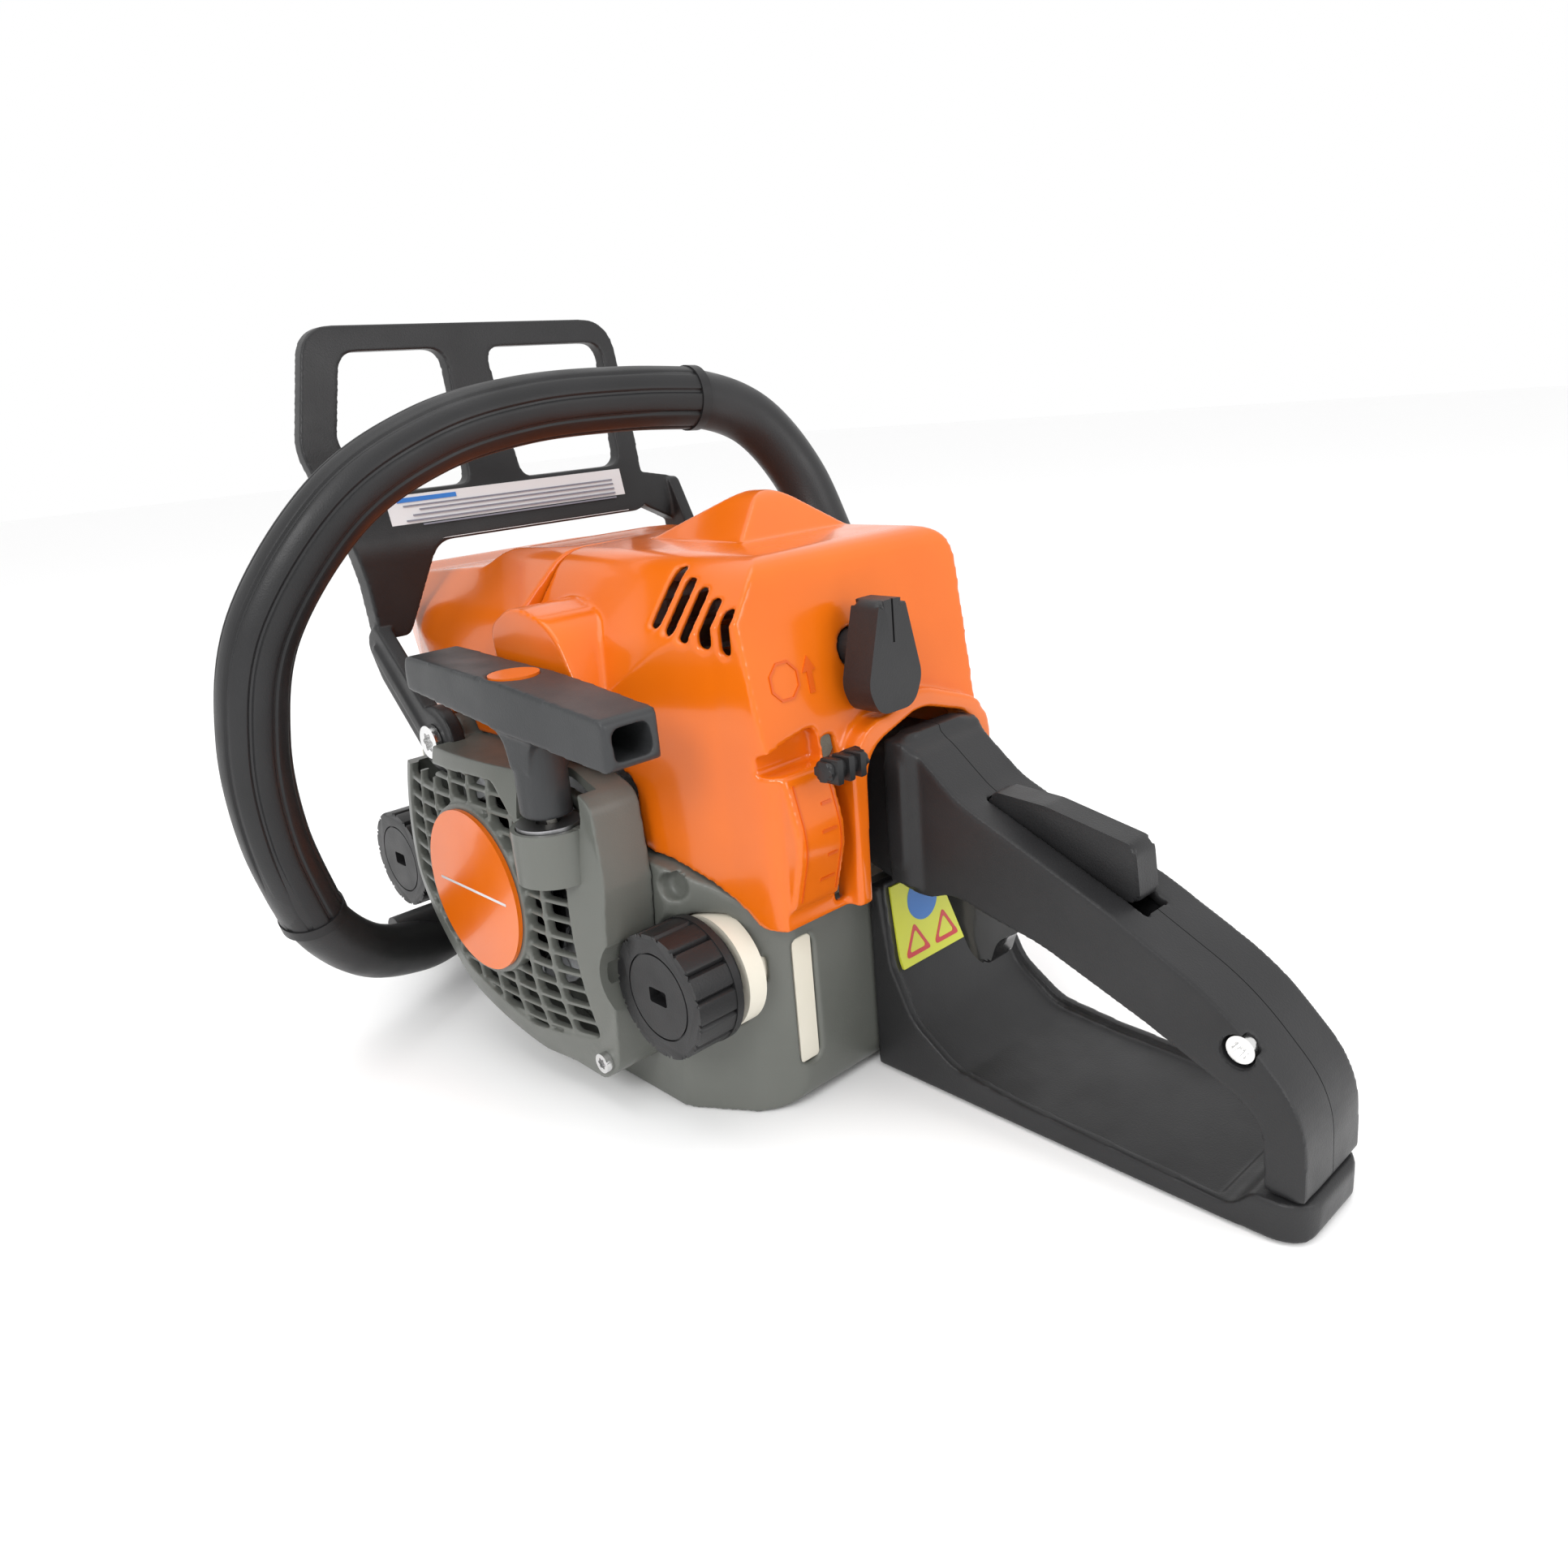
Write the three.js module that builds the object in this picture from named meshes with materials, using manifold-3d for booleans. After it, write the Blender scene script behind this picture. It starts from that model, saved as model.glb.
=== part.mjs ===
// Petrol chainsaw power head, without guide bar and chain.
// Millimetres. +X points forward, the way the bar would point, +Y to the operator's left, +Z up.
// While it is being built, Y = 0 is the parting plane of the rear handle and Z = 0 is the ground.
// The finished group is moved so that its origin is at the bottom centre of its bounding box.
import * as THREE from "three";
import { mergeVertices } from "three/addons/utils/BufferGeometryUtils.js";
import Module from "manifold-3d";

const wasm = await Module();
wasm.setup();

// ---------------------------------------------------------------- driving dimensions
const gap = 0.3; // clearance between neighbouring pieces
const wall = 2.6; // moulded plastic wall

const bodyRear = -79;
const bodyFront = 150;
const bodyRight = -38;
const bodyLeft = 80;
const deckHeight = 68; // flat top of the housing, under the air filter

const crank = { x: 22, z: 70 }; // crankshaft axis, along Y
const cylinderAxisY = 20;
const bore = 38;
const stroke = 27;

const seamX = 22; // joint between the two orange covers
const starterFace = 107; // outer face of the recoil starter housing
const rotorRadius = 27; // radius at which the rope leaves the rotor
const ropeRadius = 1.6;
const ropeExit = { x: -23, y: 102, z: 106 };

const capRadius = 23;
const capDepth = 17;
const fuelCap = { x: -60, y: 78, z: 52 }; // inner face of the cap, on its axis
const oilCap = { x: 128, y: 71, z: 52 };
const neckRadius = 20.8; // flange of a tank's filler neck
const neckStem = 15.7;

const gripHalf = 17; // half width of the rear handle grip
const barRadius = 10.3; // front handle tube
const guardPivot = { x: 54, z: 118 };

const clutchRadius = 30;
const coverRight = -62; // outer face of the sprocket cover
const studX = [94, 124];
const studZ = 62;

// ---------------------------------------------------------------- materials
function paint(color, roughness, metalness = 0) {
  return { color, roughness, metalness };
}

const orange = paint(0xe8701a, 0.32);
const housingGrey = paint(0x767a72, 0.55);
const gripBlack = paint(0x3a3b3c, 0.6);
const softBlack = paint(0x2e2f30, 0.75);
const starterGrey = paint(0x4d4f52, 0.55);
const glossBlack = paint(0x1c1c1d, 0.25);
const tankWhite = paint(0xe4dfd0, 0.5);
const chrome = paint(0xc9c9c9, 0.22, 1);
const steel = paint(0x9a9a9a, 0.4, 0.9);
const aluminium = paint(0xb4b6b8, 0.45, 0.85);
const darkMetal = paint(0x4a4a4c, 0.5, 0.7);
const brass = paint(0xc8a24a, 0.35, 0.9);
const rubber = paint(0x202020, 0.85);
const felt = paint(0xe0dccb, 0.95);
const ropeFibre = paint(0xe8e6df, 0.9);

// ---------------------------------------------------------------- solids and placing
function solid(geometry) {
  const bare = geometry.index ? geometry.toNonIndexed() : geometry.clone();
  bare.deleteAttribute("normal");
  bare.deleteAttribute("uv");
  const merged = mergeVertices(bare, 1e-4);
  return new wasm.Manifold(
    new wasm.Mesh({
      numProp: 3,
      vertProperties: new Float32Array(merged.attributes.position.array),
      triVerts: new Uint32Array(merged.index.array),
    }),
  );
}

const smallest = 0.06; // edges shorter than this, left by a cut, are closed up

function geometryOf(shape) {
  const mesh = shape.simplify(smallest).getMesh();
  const geometry = new THREE.BufferGeometry();
  geometry.setAttribute("position", new THREE.BufferAttribute(mesh.vertProperties, 3));
  geometry.setIndex(new THREE.BufferAttribute(mesh.triVerts, 1));
  const flat = geometry.toNonIndexed();
  flat.computeVertexNormals();
  return flat;
}

const saw = new THREE.Group();

function addPart(name, shape, look) {
  const mesh = new THREE.Mesh(geometryOf(shape), new THREE.MeshStandardMaterial(look));
  mesh.name = name;
  saw.add(mesh);
}

function join(...shapes) {
  return shapes.reduce((sum, next) => sum.add(next));
}

function cut(shape, ...tools) {
  return tools.reduce((rest, tool) => rest.subtract(tool), shape);
}

// a closed outline with rounded corners: each corner is [u, v, radius]
function outline(corners) {
  const shape = new THREE.Shape();
  const at = (i) => new THREE.Vector2(...corners[(i + corners.length) % corners.length]);
  corners.forEach((corner, i) => {
    const here = at(i);
    const toLast = at(i - 1).sub(here);
    const toNext = at(i + 1).sub(here);
    const half = Math.acos(THREE.MathUtils.clamp(toLast.dot(toNext) / toLast.length() / toNext.length(),
      -1, 1)) / 2;
    const most = 0.49 * Math.min(toLast.length(), toNext.length());
    const back = Math.min((corner[2] ?? 0) / Math.tan(half), most);
    const start = here.clone().add(toLast.setLength(back));
    const end = here.clone().add(toNext.setLength(back));
    if (i === 0) shape.moveTo(start.x, start.y);
    else shape.lineTo(start.x, start.y);
    if (back > 0.01) shape.quadraticCurveTo(here.x, here.y, end.x, end.y);
  });
  shape.closePath();
  return shape;
}

// the three axes that an outline's u, its v and the extrusion run along
const axisFrames = {
  x: [new THREE.Vector3(0, 1, 0), new THREE.Vector3(0, 0, 1), new THREE.Vector3(1, 0, 0)],
  y: [new THREE.Vector3(1, 0, 0), new THREE.Vector3(0, 0, 1), new THREE.Vector3(0, -1, 0)],
  z: [new THREE.Vector3(1, 0, 0), new THREE.Vector3(0, 1, 0), new THREE.Vector3(0, 0, 1)],
};

// an outline extruded along an axis: (y, z) along x, (x, z) along y, (x, y) along z
function slab(axis, shape, from, to, curveSegments = 2, bevel = 0) {
  const geometry = new THREE.ExtrudeGeometry(shape, {
    depth: to - from - 2 * bevel,
    bevelEnabled: bevel > 0,
    bevelThickness: bevel,
    bevelSize: bevel,
    bevelOffset: -bevel,
    bevelSegments: 1,
    curveSegments,
  });
  geometry.translate(0, 0, bevel);
  geometry.applyMatrix4(new THREE.Matrix4().makeBasis(...axisFrames[axis]));
  const start = axis === "y" ? to : from;
  geometry.translate(axis === "x" ? start : 0, axis === "y" ? start : 0, axis === "z" ? start : 0);
  return solid(geometry);
}

function box(x0, x1, y0, y1, z0, z1) {
  const geometry = new THREE.BoxGeometry(x1 - x0, y1 - y0, z1 - z0);
  geometry.translate((x0 + x1) / 2, (y0 + y1) / 2, (z0 + z1) / 2);
  return solid(geometry);
}

function rodBetween(start, end, radius, sides = 14, endRadius = radius) {
  const from = new THREE.Vector3(...start);
  const along = new THREE.Vector3(...end).sub(from);
  const geometry = new THREE.CylinderGeometry(endRadius, radius, along.length(), sides);
  geometry.translate(0, along.length() / 2, 0);
  geometry.applyQuaternion(
    new THREE.Quaternion().setFromUnitVectors(new THREE.Vector3(0, 1, 0), along.normalize()),
  );
  geometry.translate(...start);
  return solid(geometry);
}

// a round bar along an axis, through a centre given by the other two coordinates in order
function rod(axis, radius, from, to, centre, sides = 16, endRadius = radius) {
  const [a, b] = centre;
  const ends = {
    x: [[from, a, b], [to, a, b]],
    y: [[a, from, b], [a, to, b]],
    z: [[a, b, from], [a, b, to]],
  }[axis];
  return rodBetween(...ends, radius, sides, endRadius);
}

function ring(axis, outer, inner, from, to, centre, sides = 16) {
  return cut(
    rod(axis, outer, from, to, centre, sides),
    rod(axis, inner, from - 1, to + 1, centre, sides),
  );
}

function tube(curve, radius, sides, steps) {
  const section = new THREE.Shape();
  for (let i = 0; i < sides; i += 1) {
    const angle = (i / sides) * 2 * Math.PI;
    const point = [radius * Math.cos(angle), radius * Math.sin(angle)];
    if (i === 0) section.moveTo(...point);
    else section.lineTo(...point);
  }
  section.closePath();
  return solid(
    new THREE.ExtrudeGeometry(section, { steps, extrudePath: curve, bevelEnabled: false }),
  );
}

function smoothCurve(points, tension = 0.5) {
  return new THREE.CatmullRomCurve3(
    points.map((point) => new THREE.Vector3(...point)),
    false,
    "catmullrom",
    tension,
  );
}

// part of a curve, between two fractions of its control points
function stretchOf(curve, from, to, pieces = 24) {
  const points = Array.from({ length: pieces + 1 }, (_,
    i) => curve.getPoint(from + ((to - from) * i) / pieces));
  return new THREE.CatmullRomCurve3(points);
}

// a button-head screw pointing along an axis, its shank ending at `tip`
function screw(axis, centre, head, tip, headRadius = 4, shank = 1.9) {
  const out = Math.sign(head - tip);
  return join(
    rod(axis, headRadius, Math.min(head, head + out * 2.4), Math.max(head, head + out * 2.4), centre, 12),
    rod(axis, shank, Math.min(head + out, tip), Math.max(head + out, tip), centre, 8),
  );
}

// ---------------------------------------------------------------- housing and tanks
const fuelFlange = 67; // Y where the flange of the neck starts
const oilFlange = 64.7;

function neckHole(cap, from, flange) {
  const centre = [cap.x, cap.z];
  return join(
    rod("y", neckStem + 0.5, from, 90, centre),
    rod("y", neckRadius + 0.5, flange - gap, 90, centre, 20),
    rod("y", capRadius + 1, cap.y - gap, 120, centre, 20),
  );
}

function engineHousing() {
  const side = outline([
    [bodyRear, 0, 8], [148, 0, 16], [bodyFront, 60, 8], [146, 112, 8], [60, 114, 6], [-20, 100, 6],
    [-32, 92, 6], [-50, deckHeight, 4], [bodyRear, deckHeight, 3],
  ]);
  const plan = outline([
    [bodyRear, bodyRight, 6], [bodyRear, 54, 6], [-70, 66, 6], [-48, bodyLeft, 6], [78, bodyLeft, 3],
    [86, 67, 4], [146, 65, 12], [bodyFront, bodyRight, 14],
  ]);
  const shell = slab("y", side, bodyRight, bodyLeft, 2, 3.4).intersect(slab("z", plan, -1, 130));
  return cut(
    shell,
    box(-75, -30, -34, 50, 6, 120),
    box(-26, 88, -34, 76, 14, 130),
    box(93, 146, -34, 62, 6, 130),
    slab("x", outline([[45.5, 15, 4.4], [54.5, 15, 4.4], [54.5, 61, 4.4], [45.5, 61, 4.4]]), -90, -60),
    neckHole(fuelCap, 40, fuelFlange),
    neckHole(oilCap, 50, oilFlange),
    rod("y", 12, -50, 90, [crank.x, crank.z]),
    ...studX.map((x) => rod("y", 4.4, -50, 0, [x, studZ], 12)),
  );
}

// a hollow tank with a round filler neck towards the left
function tank(x0, x1, y0, y1, z0, z1, cap, flange) {
  const centre = [cap.x, cap.z];
  const neckEnd = cap.y - 4;
  return cut(
    join(
      box(x0, x1, y0, y1, z0, z1),
      rod("y", neckStem, y1 - 4, flange + 1, centre),
      rod("y", neckRadius, flange, neckEnd, centre, 20),
    ),
    box(x0 + 2.2, x1 - 2.2, y0 + 2.2, y1 - 2.2, z0 + 2.2, z1 - 2.2),
    rod("y", 14.4, y1 - 6, neckEnd + 1, centre),
  );
}

function fillerCap(cap) {
  const lobes = 14;
  const rim = new THREE.Shape();
  for (let i = 0; i < lobes * 2; i += 1) {
    const angle = ((i + 0.5 * (i % 2)) / lobes / 2) * 2 * Math.PI;
    const radius = i % 2 === 0 ? capRadius - 1.2 : capRadius;
    const point = [cap.x + radius * Math.cos(angle), cap.z + radius * Math.sin(angle)];
    if (i === 0) rim.moveTo(...point);
    else rim.lineTo(...point);
  }
  rim.closePath();
  const centre = [cap.x, cap.z];
  return cut(
    join(slab("y", rim, cap.y, cap.y + capDepth), rod("y", 13, cap.y - 12, cap.y + 1, centre, 14)),
    ring("y", 16.5, 13.4, cap.y + capDepth - 1, cap.y + capDepth + 1, centre, 14),
    box(cap.x - 5.5, cap.x + 5.5, cap.y + capDepth - 4, cap.y + capDepth + 1, cap.z - 2.4, cap.z + 2.4),
  );
}

function capGasket(cap) {
  return ring("y", 16.5, 13.3, cap.y - 3.6, cap.y - gap, [cap.x, cap.z], 20);
}

addPart("engine_housing", engineHousing(), housingGrey);
addPart("fuel_tank", tank(-74.6, -30.4, -33.6, 49.6, 6.4, 66, fuelCap, fuelFlange), tankWhite);
addPart("oil_tank", tank(93.4, 145.6, -33.6, 61.6, 6.4, 92, oilCap, oilFlange), tankWhite);
addPart("fuel_cap", fillerCap(fuelCap), softBlack);
addPart("oil_cap", fillerCap(oilCap), softBlack);
addPart("fuel_cap_gasket", capGasket(fuelCap), rubber);
addPart("oil_cap_gasket", capGasket(oilCap), rubber);

// ---------------------------------------------------------------- engine
function cylinder() {
  const centre = [crank.x, cylinderAxisY];
  const fins = Array.from({ length: 5 }, (_, i) => {
    const z = 112 + i * 9.5;
    const half = 32 - 0.6 * Math.abs(i - 2);
    return slab("z", outline([
      [crank.x - half, -10, 8], [crank.x + half, -10, 8], [crank.x + half, 50, 8], [crank.x - half, 50, 8],
    ]), z, z + 2, 1);
  });
  const barrel = join(
    rod("z", bore / 2 + 5, 100.3, 160, centre),
    box(crank.x - 26, crank.x + 26, -6, 46, 100.3, 104),
    rod("x", 13, crank.x + 18, 60, [cylinderAxisY, 126], 16),
    rod("x", 12, -16, crank.x - 18, [cylinderAxisY, 120], 16),
    ...fins,
  );
  return cut(
    barrel,
    rod("z", bore / 2 + gap, 90, 154, centre),
    rod("z", 5.4, 150, 170, centre, 12),
    rod("x", 8, crank.x, 70, [cylinderAxisY, 126], 14),
    rod("x", 7.5, -30, crank.x, [cylinderAxisY, 120], 14),
  );
}

function crankcase() {
  return cut(
    box(-8, 52, -12, 52, 34, 100),
    rod("y", 30, -8.5, 48, [crank.x, crank.z], 24),
    box(crank.x - 20, crank.x + 20, 0, 40, 80, 110),
    rod("y", 9, -20, 60, [crank.x, crank.z], 20),
  );
}

// one-piece crankshaft: two journals, two webs and the crank pin at top dead centre
function crankshaft() {
  const centre = [crank.x, crank.z];
  return join(
    rod("y", 6.5, -57, 8.3, centre),
    rod("y", 6.5, 31.5, 90.6, centre),
    ...[[8, 14], [26, 32]].map(([from, to]) => rod("y", 28, from, to, centre, 24)),
    rod("y", 6, 13, 27, [crank.x, crank.z + stroke / 2], 16),
  );
}

// only the upper shell of the big end, a saddle just above the circle that the crank pin sweeps
function connectingRod() {
  const pinZ = crank.z + stroke / 2;
  const topZ = pinZ + 46;
  return cut(
    join(
      rod("y", 9.5, 15, 25, [crank.x, pinZ], 16),
      rod("y", 7.5, 15, 25, [crank.x, topZ], 16),
      box(crank.x - 4, crank.x + 4, 16, 24, pinZ + 8, topZ - 6),
    ),
    rod("y", stroke / 2 + 6.4, 10, 30, [crank.x, crank.z], 32),
    rod("y", 4.4, 10, 30, [crank.x, topZ], 12),
  );
}

function piston() {
  const pinZ = crank.z + stroke / 2 + 46;
  const centre = [crank.x, cylinderAxisY];
  return cut(
    join(
      cut(rod("z", bore / 2, pinZ - 14, pinZ + 15, centre), rod("z", 16, pinZ - 20, pinZ + 11, centre)),
      rod("y", 4, cylinderAxisY - 17, cylinderAxisY + 17, [crank.x, pinZ], 12),
    ),
  );
}

function flywheel() {
  const magnets = 12;
  const fins = Array.from({ length: magnets }, (_, i) => {
    const angle = (i / magnets) * 2 * Math.PI;
    return rodBetween(
      [crank.x + 18 * Math.cos(angle), 88, crank.z + 18 * Math.sin(angle)],
      [crank.x + 39 * Math.cos(angle), 88, crank.z + 39 * Math.sin(angle)],
      1.6,
      4,
    );
  });
  return cut(
    join(rod("y", 41, 82, 87, [crank.x, crank.z], 24), rod("y", 14, 82, 90,
      [crank.x, crank.z], 20), ...fins),
    rod("y", 6.9, 70, 110, [crank.x, crank.z], 16),
  );
}

addPart("crankcase", crankcase(), aluminium);
addPart("cylinder", cylinder(), aluminium);
addPart("crankshaft", crankshaft(), steel);
addPart("connecting_rod", connectingRod(), steel);
addPart("piston", piston(), aluminium);
addPart("flywheel", flywheel(), aluminium);
addPart("ignition_module", box(48.5, 66, 80.6, 90, 103.6, 110), softBlack);
addPart("spark_plug", join(
  rod("z", 5, 154.5, 162, [crank.x, cylinderAxisY], 12),
  rod("z", 7, 160.4, 164.5, [crank.x, cylinderAxisY], 6),
  rod("z", 3, 164, 167, [crank.x, cylinderAxisY], 12),
), steel);
addPart("muffler", cut(
  slab("y", outline([[66, 115, 5], [112, 118, 6], [112, 150, 6], [66, 150, 5]]), -12, 52),
  slab("y", outline([[68, 117, 4], [110, 120, 5], [110, 148, 5], [68, 148, 4]]), -10, 50),
  rod("x", 7, 60, 69, [cylinderAxisY, 126], 14),
  box(105, 120, 34, 46, 130, 138),
), darkMetal);
addPart("carburettor", cut(
  join(box(-46, -18, 4, 36, 104, 136), rod("y", 4, -2, 5, [-32, 112], 12)),
  rod("x", 7.5, -60, 0, [cylinderAxisY, 120], 16),
), aluminium);
addPart("throttle_butterfly", rod("x", 7, -27.6, -26.4, [cylinderAxisY, 120], 14), brass);

// ---------------------------------------------------------------- orange covers
function coverOuter(inset) {
  const side = outline([
    [-88 + inset, 60, 2], [-88 + inset, 118, 10], [-77 + inset, 180 - inset, 8], [-50, 180.5 - inset, 8],
    [seamX + 5, 181 - inset, 0], [seamX + 5, 60, 0],
  ]);
  const plan = outline([
    [-92 + inset, -35 + inset, 8], [-92 + inset, 64 - inset, 10], [-70, 67 - inset, 10],
    [-30, 79 - inset, 20], [seamX + 5, 85 - inset, 0], [seamX + 5, -34 + inset, 0],
  ]);
  const rear = outline([
    [-28 + inset, 60, 0], [-34 + inset, 180 - inset, 12], [15, 181 - inset, 30], [54, 180 - inset, 14],
    [73 - inset, 156, 12], [84 - inset, 128, 10], [84 - inset, 60, 0],
  ]);
  return slab("y", side, -60, 110)
    .intersect(slab("z", plan, 50, 200))
    .intersect(slab("x", rear, -100, 40));
}

function hump(inset) {
  const side = outline([[-48, 150, 0], [-46, 176, 6], [-25, 197 - inset, 9], [14, 178, 8], [16, 150, 0]]);
  const rear = outline([[-26 + inset, 150, 0], [-20 + inset, 182, 10], [2, 197 - inset, 10],
    [34 - inset, 176, 10], [36, 150, 0]]);
  return slab("y", side, -60, 60).intersect(slab("x", rear, -60, 40));
}

function filterCover() {
  const outer = join(coverOuter(0), hump(0));
  const inner = join(coverOuter(wall), hump(wall));
  const arch = outline([[-24, 50, 0], [-24, 121, 12], [4, 126, 16], [29, 121, 12], [31, 74, 0],
    [31, 50, 0]]);
  const lowerEdge = outline([
    [-100, 50, 0], [-100, deckHeight + gap, 0], [-67, deckHeight + gap, 4], [-60, 78, 5], [-46, 92, 8],
    [-45, 113, 4], [-30, 119.6, 4], [50, 119.6, 0], [50, 50, 0],
  ]);
  const slots = Array.from({ length: 5 }, (_, i) => {
    const x = -66 + i * 6.4;
    return slab("y", outline([[x - 1.9, 149, 1], [x + 1.9, 149, 1], [x + 9, 172, 1],
      [x + 5.2, 172, 1]]), 48, 90, 1);
  });
  const scaleDrum = slab("y", outline([
    [-84, 76, 1], [-90, 78, 3], [-95, 98, 20], [-90, 119, 3], [-84, 119, 1],
  ]), 43.5, 62, 6);
  const knobSeat = rod("x", 17, -91, -86, [22, 146], 24);
  return cut(
    join(cut(outer, inner), scaleDrum),
    box(seamX, 60, -80, 120, 40, 220),
    slab("y", lowerEdge, -80, 120),
    slab("x", arch, -110, -70),
    rod("y", neckRadius + 0.6, 60, 90, [fuelCap.x, fuelCap.z], 20),
    box(-110, -80, 36.5, 43, 76, 128),
    box(-110, -80, 43, 66, 119, 129),
    rod("x", 6.3, -110, -70, [22, 149], 16),
    knobSeat,
    ...slots,
  );
}

function shroudOuter(inset) {
  const drop = 6 * inset;
  const side = outline([
    [seamX - 5, 100 - drop, 0], [seamX - 5, 179 - inset, 0], [60, 178 - inset, 6], [66, 172 - inset, 5],
      [108, 170 - inset, 5],
    [124 - inset, 174 - inset, 5], [120 - inset, 148 - drop, 6], [84, 130 - drop, 10],
    [70, 100 - drop, 0],
  ]);
  const plan = outline([
    [seamX - 5, -36 + inset, 0], [seamX - 5, 85 - inset, 0], [66, 86 - inset, 14], [92, 79 - inset, 10],
    [126 - inset, 66 - inset, 14], [130 - inset, 30, 20], [116 - inset, -30 + inset, 12],
  ]);
  const front = outline([
    [-40 + inset, 100, 0], [-34 + inset, 176 - inset, 14], [20, 180 - inset, 10], [52, 179 - inset, 16],
    [76 - inset, 160, 12], [88 - inset, 132, 8], [88 - inset, 100, 0],
  ]);
  return slab("y", side, -60, 110)
    .intersect(slab("z", plan, 80, 200))
    .intersect(slab("x", front, 10, 140));
}

function shroud() {
  return cut(
    cut(shroudOuter(0), shroudOuter(wall)),
    box(0, seamX + gap, -80, 120, 40, 220),
    box(0, 150, -80, 120, 40, 119.4),
    box(112, 140, -2, 44, 118, 158),
    rod("y", 8.6, 78, 100, [guardPivot.x, guardPivot.z]),
  );
}

addPart("filter_cover", filterCover(), orange);
addPart("engine_shroud", shroud(), orange);
addPart("air_filter", cut(
  slab("x", outline([[-14, 110, 8], [38, 110, 8], [38, 160, 8], [-14, 160, 8]]), -64, -48),
  rod("x", 8, -60, -40, [cylinderAxisY, 120], 16),
), felt);
addPart("filter_knob", cut(
  join(
    slab("x", outline([[10, 140, 6], [16, 165, 3], [28, 165, 3], [34, 140, 6], [30, 131, 8],
      [14, 131, 8]]), -99.5, -91.3),
    rod("x", 5.8, -92, -74, [22, 149], 16),
  ),
  box(-101, -98.5, 21.2, 22.8, 150, 166),
), softBlack);

// ---------------------------------------------------------------- recoil starter, on the left side
const starterOutline = [
  [-44, 84, 6], [-30, 12, 10], [4, 8, 10], [44, 24, 16], [77, 62, 8], [77, 110, 8], [62, 119, 8],
  [-24, 119, 8], [-42, 112, 6],
];

function starterCover() {
  const faceFrom = starterFace - 4;
  const windowShape = outline([
    [-33, 84, 4], [-22, 26, 8], [4, 20, 10], [40, 34, 16], [68, 66, 6], [68, 106, 5], [8, 108, 5],
    [-10, 92, 4], [-33, 92, 4],
  ]);
  const windowEdge = outline([
    [-34, 85, 4], [-23, 25, 8], [4, 19, 10], [41, 33, 16], [69, 65, 6], [69, 107, 5], [8, 109, 5],
    [-10, 93, 4], [-34, 93, 4],
  ]);
  const shape = outline(starterOutline);
  const shell = cut(
    slab("y", shape, bodyLeft - 8, starterFace, 2, 6).intersect(box(-60, 90, bodyLeft + gap, 120, 0, 130)),
    slab("y", outline([
      [-38, 84, 6], [-27, 16, 8], [4, 12, 10], [42, 28, 16], [73, 64, 8], [73, 108, 6], [60, 115, 6],
      [-22, 115, 6], [-38, 110, 5],
    ]), bodyLeft - 1, faceFrom),
    slab("y", windowShape, 70, 120),
  );
  const bars = [];
  for (let z = 18; z < 112; z += 11) bars.push(box(-40, 75, faceFrom + 0.4, starterFace - 1, z + 0.35,
    z + 2.35));
  for (let x = -24; x < 74; x += 24) bars.push(box(x, x + 2, faceFrom + 0.2, starterFace - 0.7, 10, 118));
  const grille = join(
    join(...bars).intersect(slab("y", windowEdge, 70, 120)),
    rod("y", 31.5, faceFrom - 0.7, starterFace + 0.6, [crank.x, 72], 24),
    rod("y", 5, 95, faceFrom + 1, [crank.x, crank.z], 12),
  );
  const pivot = [guardPivot.x, guardPivot.z];
  const body = cut(
    join(shell, grille),
    box(-39.5, -10, 91.5, 118, 98, 124),
    rod("y", capRadius + 1, 70, 120, [fuelCap.x, fuelCap.z], 20),
    box(44, 80, 91.6, 120, 107.5, 125),
  );
  return cut(join(body, rod("y", 7.6, 81, 91.6, pivot)), rod("y", 2.9, 70, 120, pivot, 12));
}

function starterGrip() {
  const top = outline([[-75, 131, 3], [-73, 145, 4], [-22, 149.5, 20], [42, 152, 5], [46, 138, 4],
    [-14, 135, 20]]);
  const plan = outline([[-75, 93, 3], [46, 91, 4], [46, 109, 4], [-75, 111, 3]]);
  const bar = slab("y", top, 85, 115).intersect(slab("z", plan, 120, 160));
  return cut(
    join(bar, rod("z", 8, ropeExit.z + 4, 138, [ropeExit.x, ropeExit.y], 14)),
    box(-80, -50, 95.5, 108.5, 133.6, 142),
    rod("z", 3.2, 100, 128, [ropeExit.x, ropeExit.y], 10),
  );
}

addPart("starter_cover", starterCover(), housingGrey);
addPart("starter_badge", rod("y", 30, starterFace + 0.9, starterFace + 2.4, [crank.x, 72], 28), orange);
addPart("starter_grip", starterGrip(), starterGrey);
addPart("rope_bushing", ring("z", 10.5, 4, ropeExit.z - 3, ropeExit.z + 2.6,
  [ropeExit.x, ropeExit.y], 16), chrome);
addPart("rope_rotor", cut(
  join(
    rod("y", rotorRadius + 5, 91.5, 93, [crank.x, crank.z], 20),
    rod("y", rotorRadius - 3, 92, 98, [crank.x, crank.z], 24),
    rod("y", rotorRadius + 5, 97.5, 99, [crank.x, crank.z], 20),
  ),
  rod("y", 5.4, 80, 110, [crank.x, crank.z], 14),
), glossBlack);
addPart("rewind_spring", ring("y", 24, 9, 99.4, 101.9, [crank.x, crank.z], 24), steel);
addPart("starter_rope", tube(smoothCurve([
  [crank.x - rotorRadius - 1, 95.2, 84], [-15, 97, 95], [ropeExit.x + 1, 100, 102],
  [ropeExit.x, ropeExit.y, 110], [ropeExit.x, ropeExit.y, 127],
]), ropeRadius, 8, 14), ropeFibre);

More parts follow.
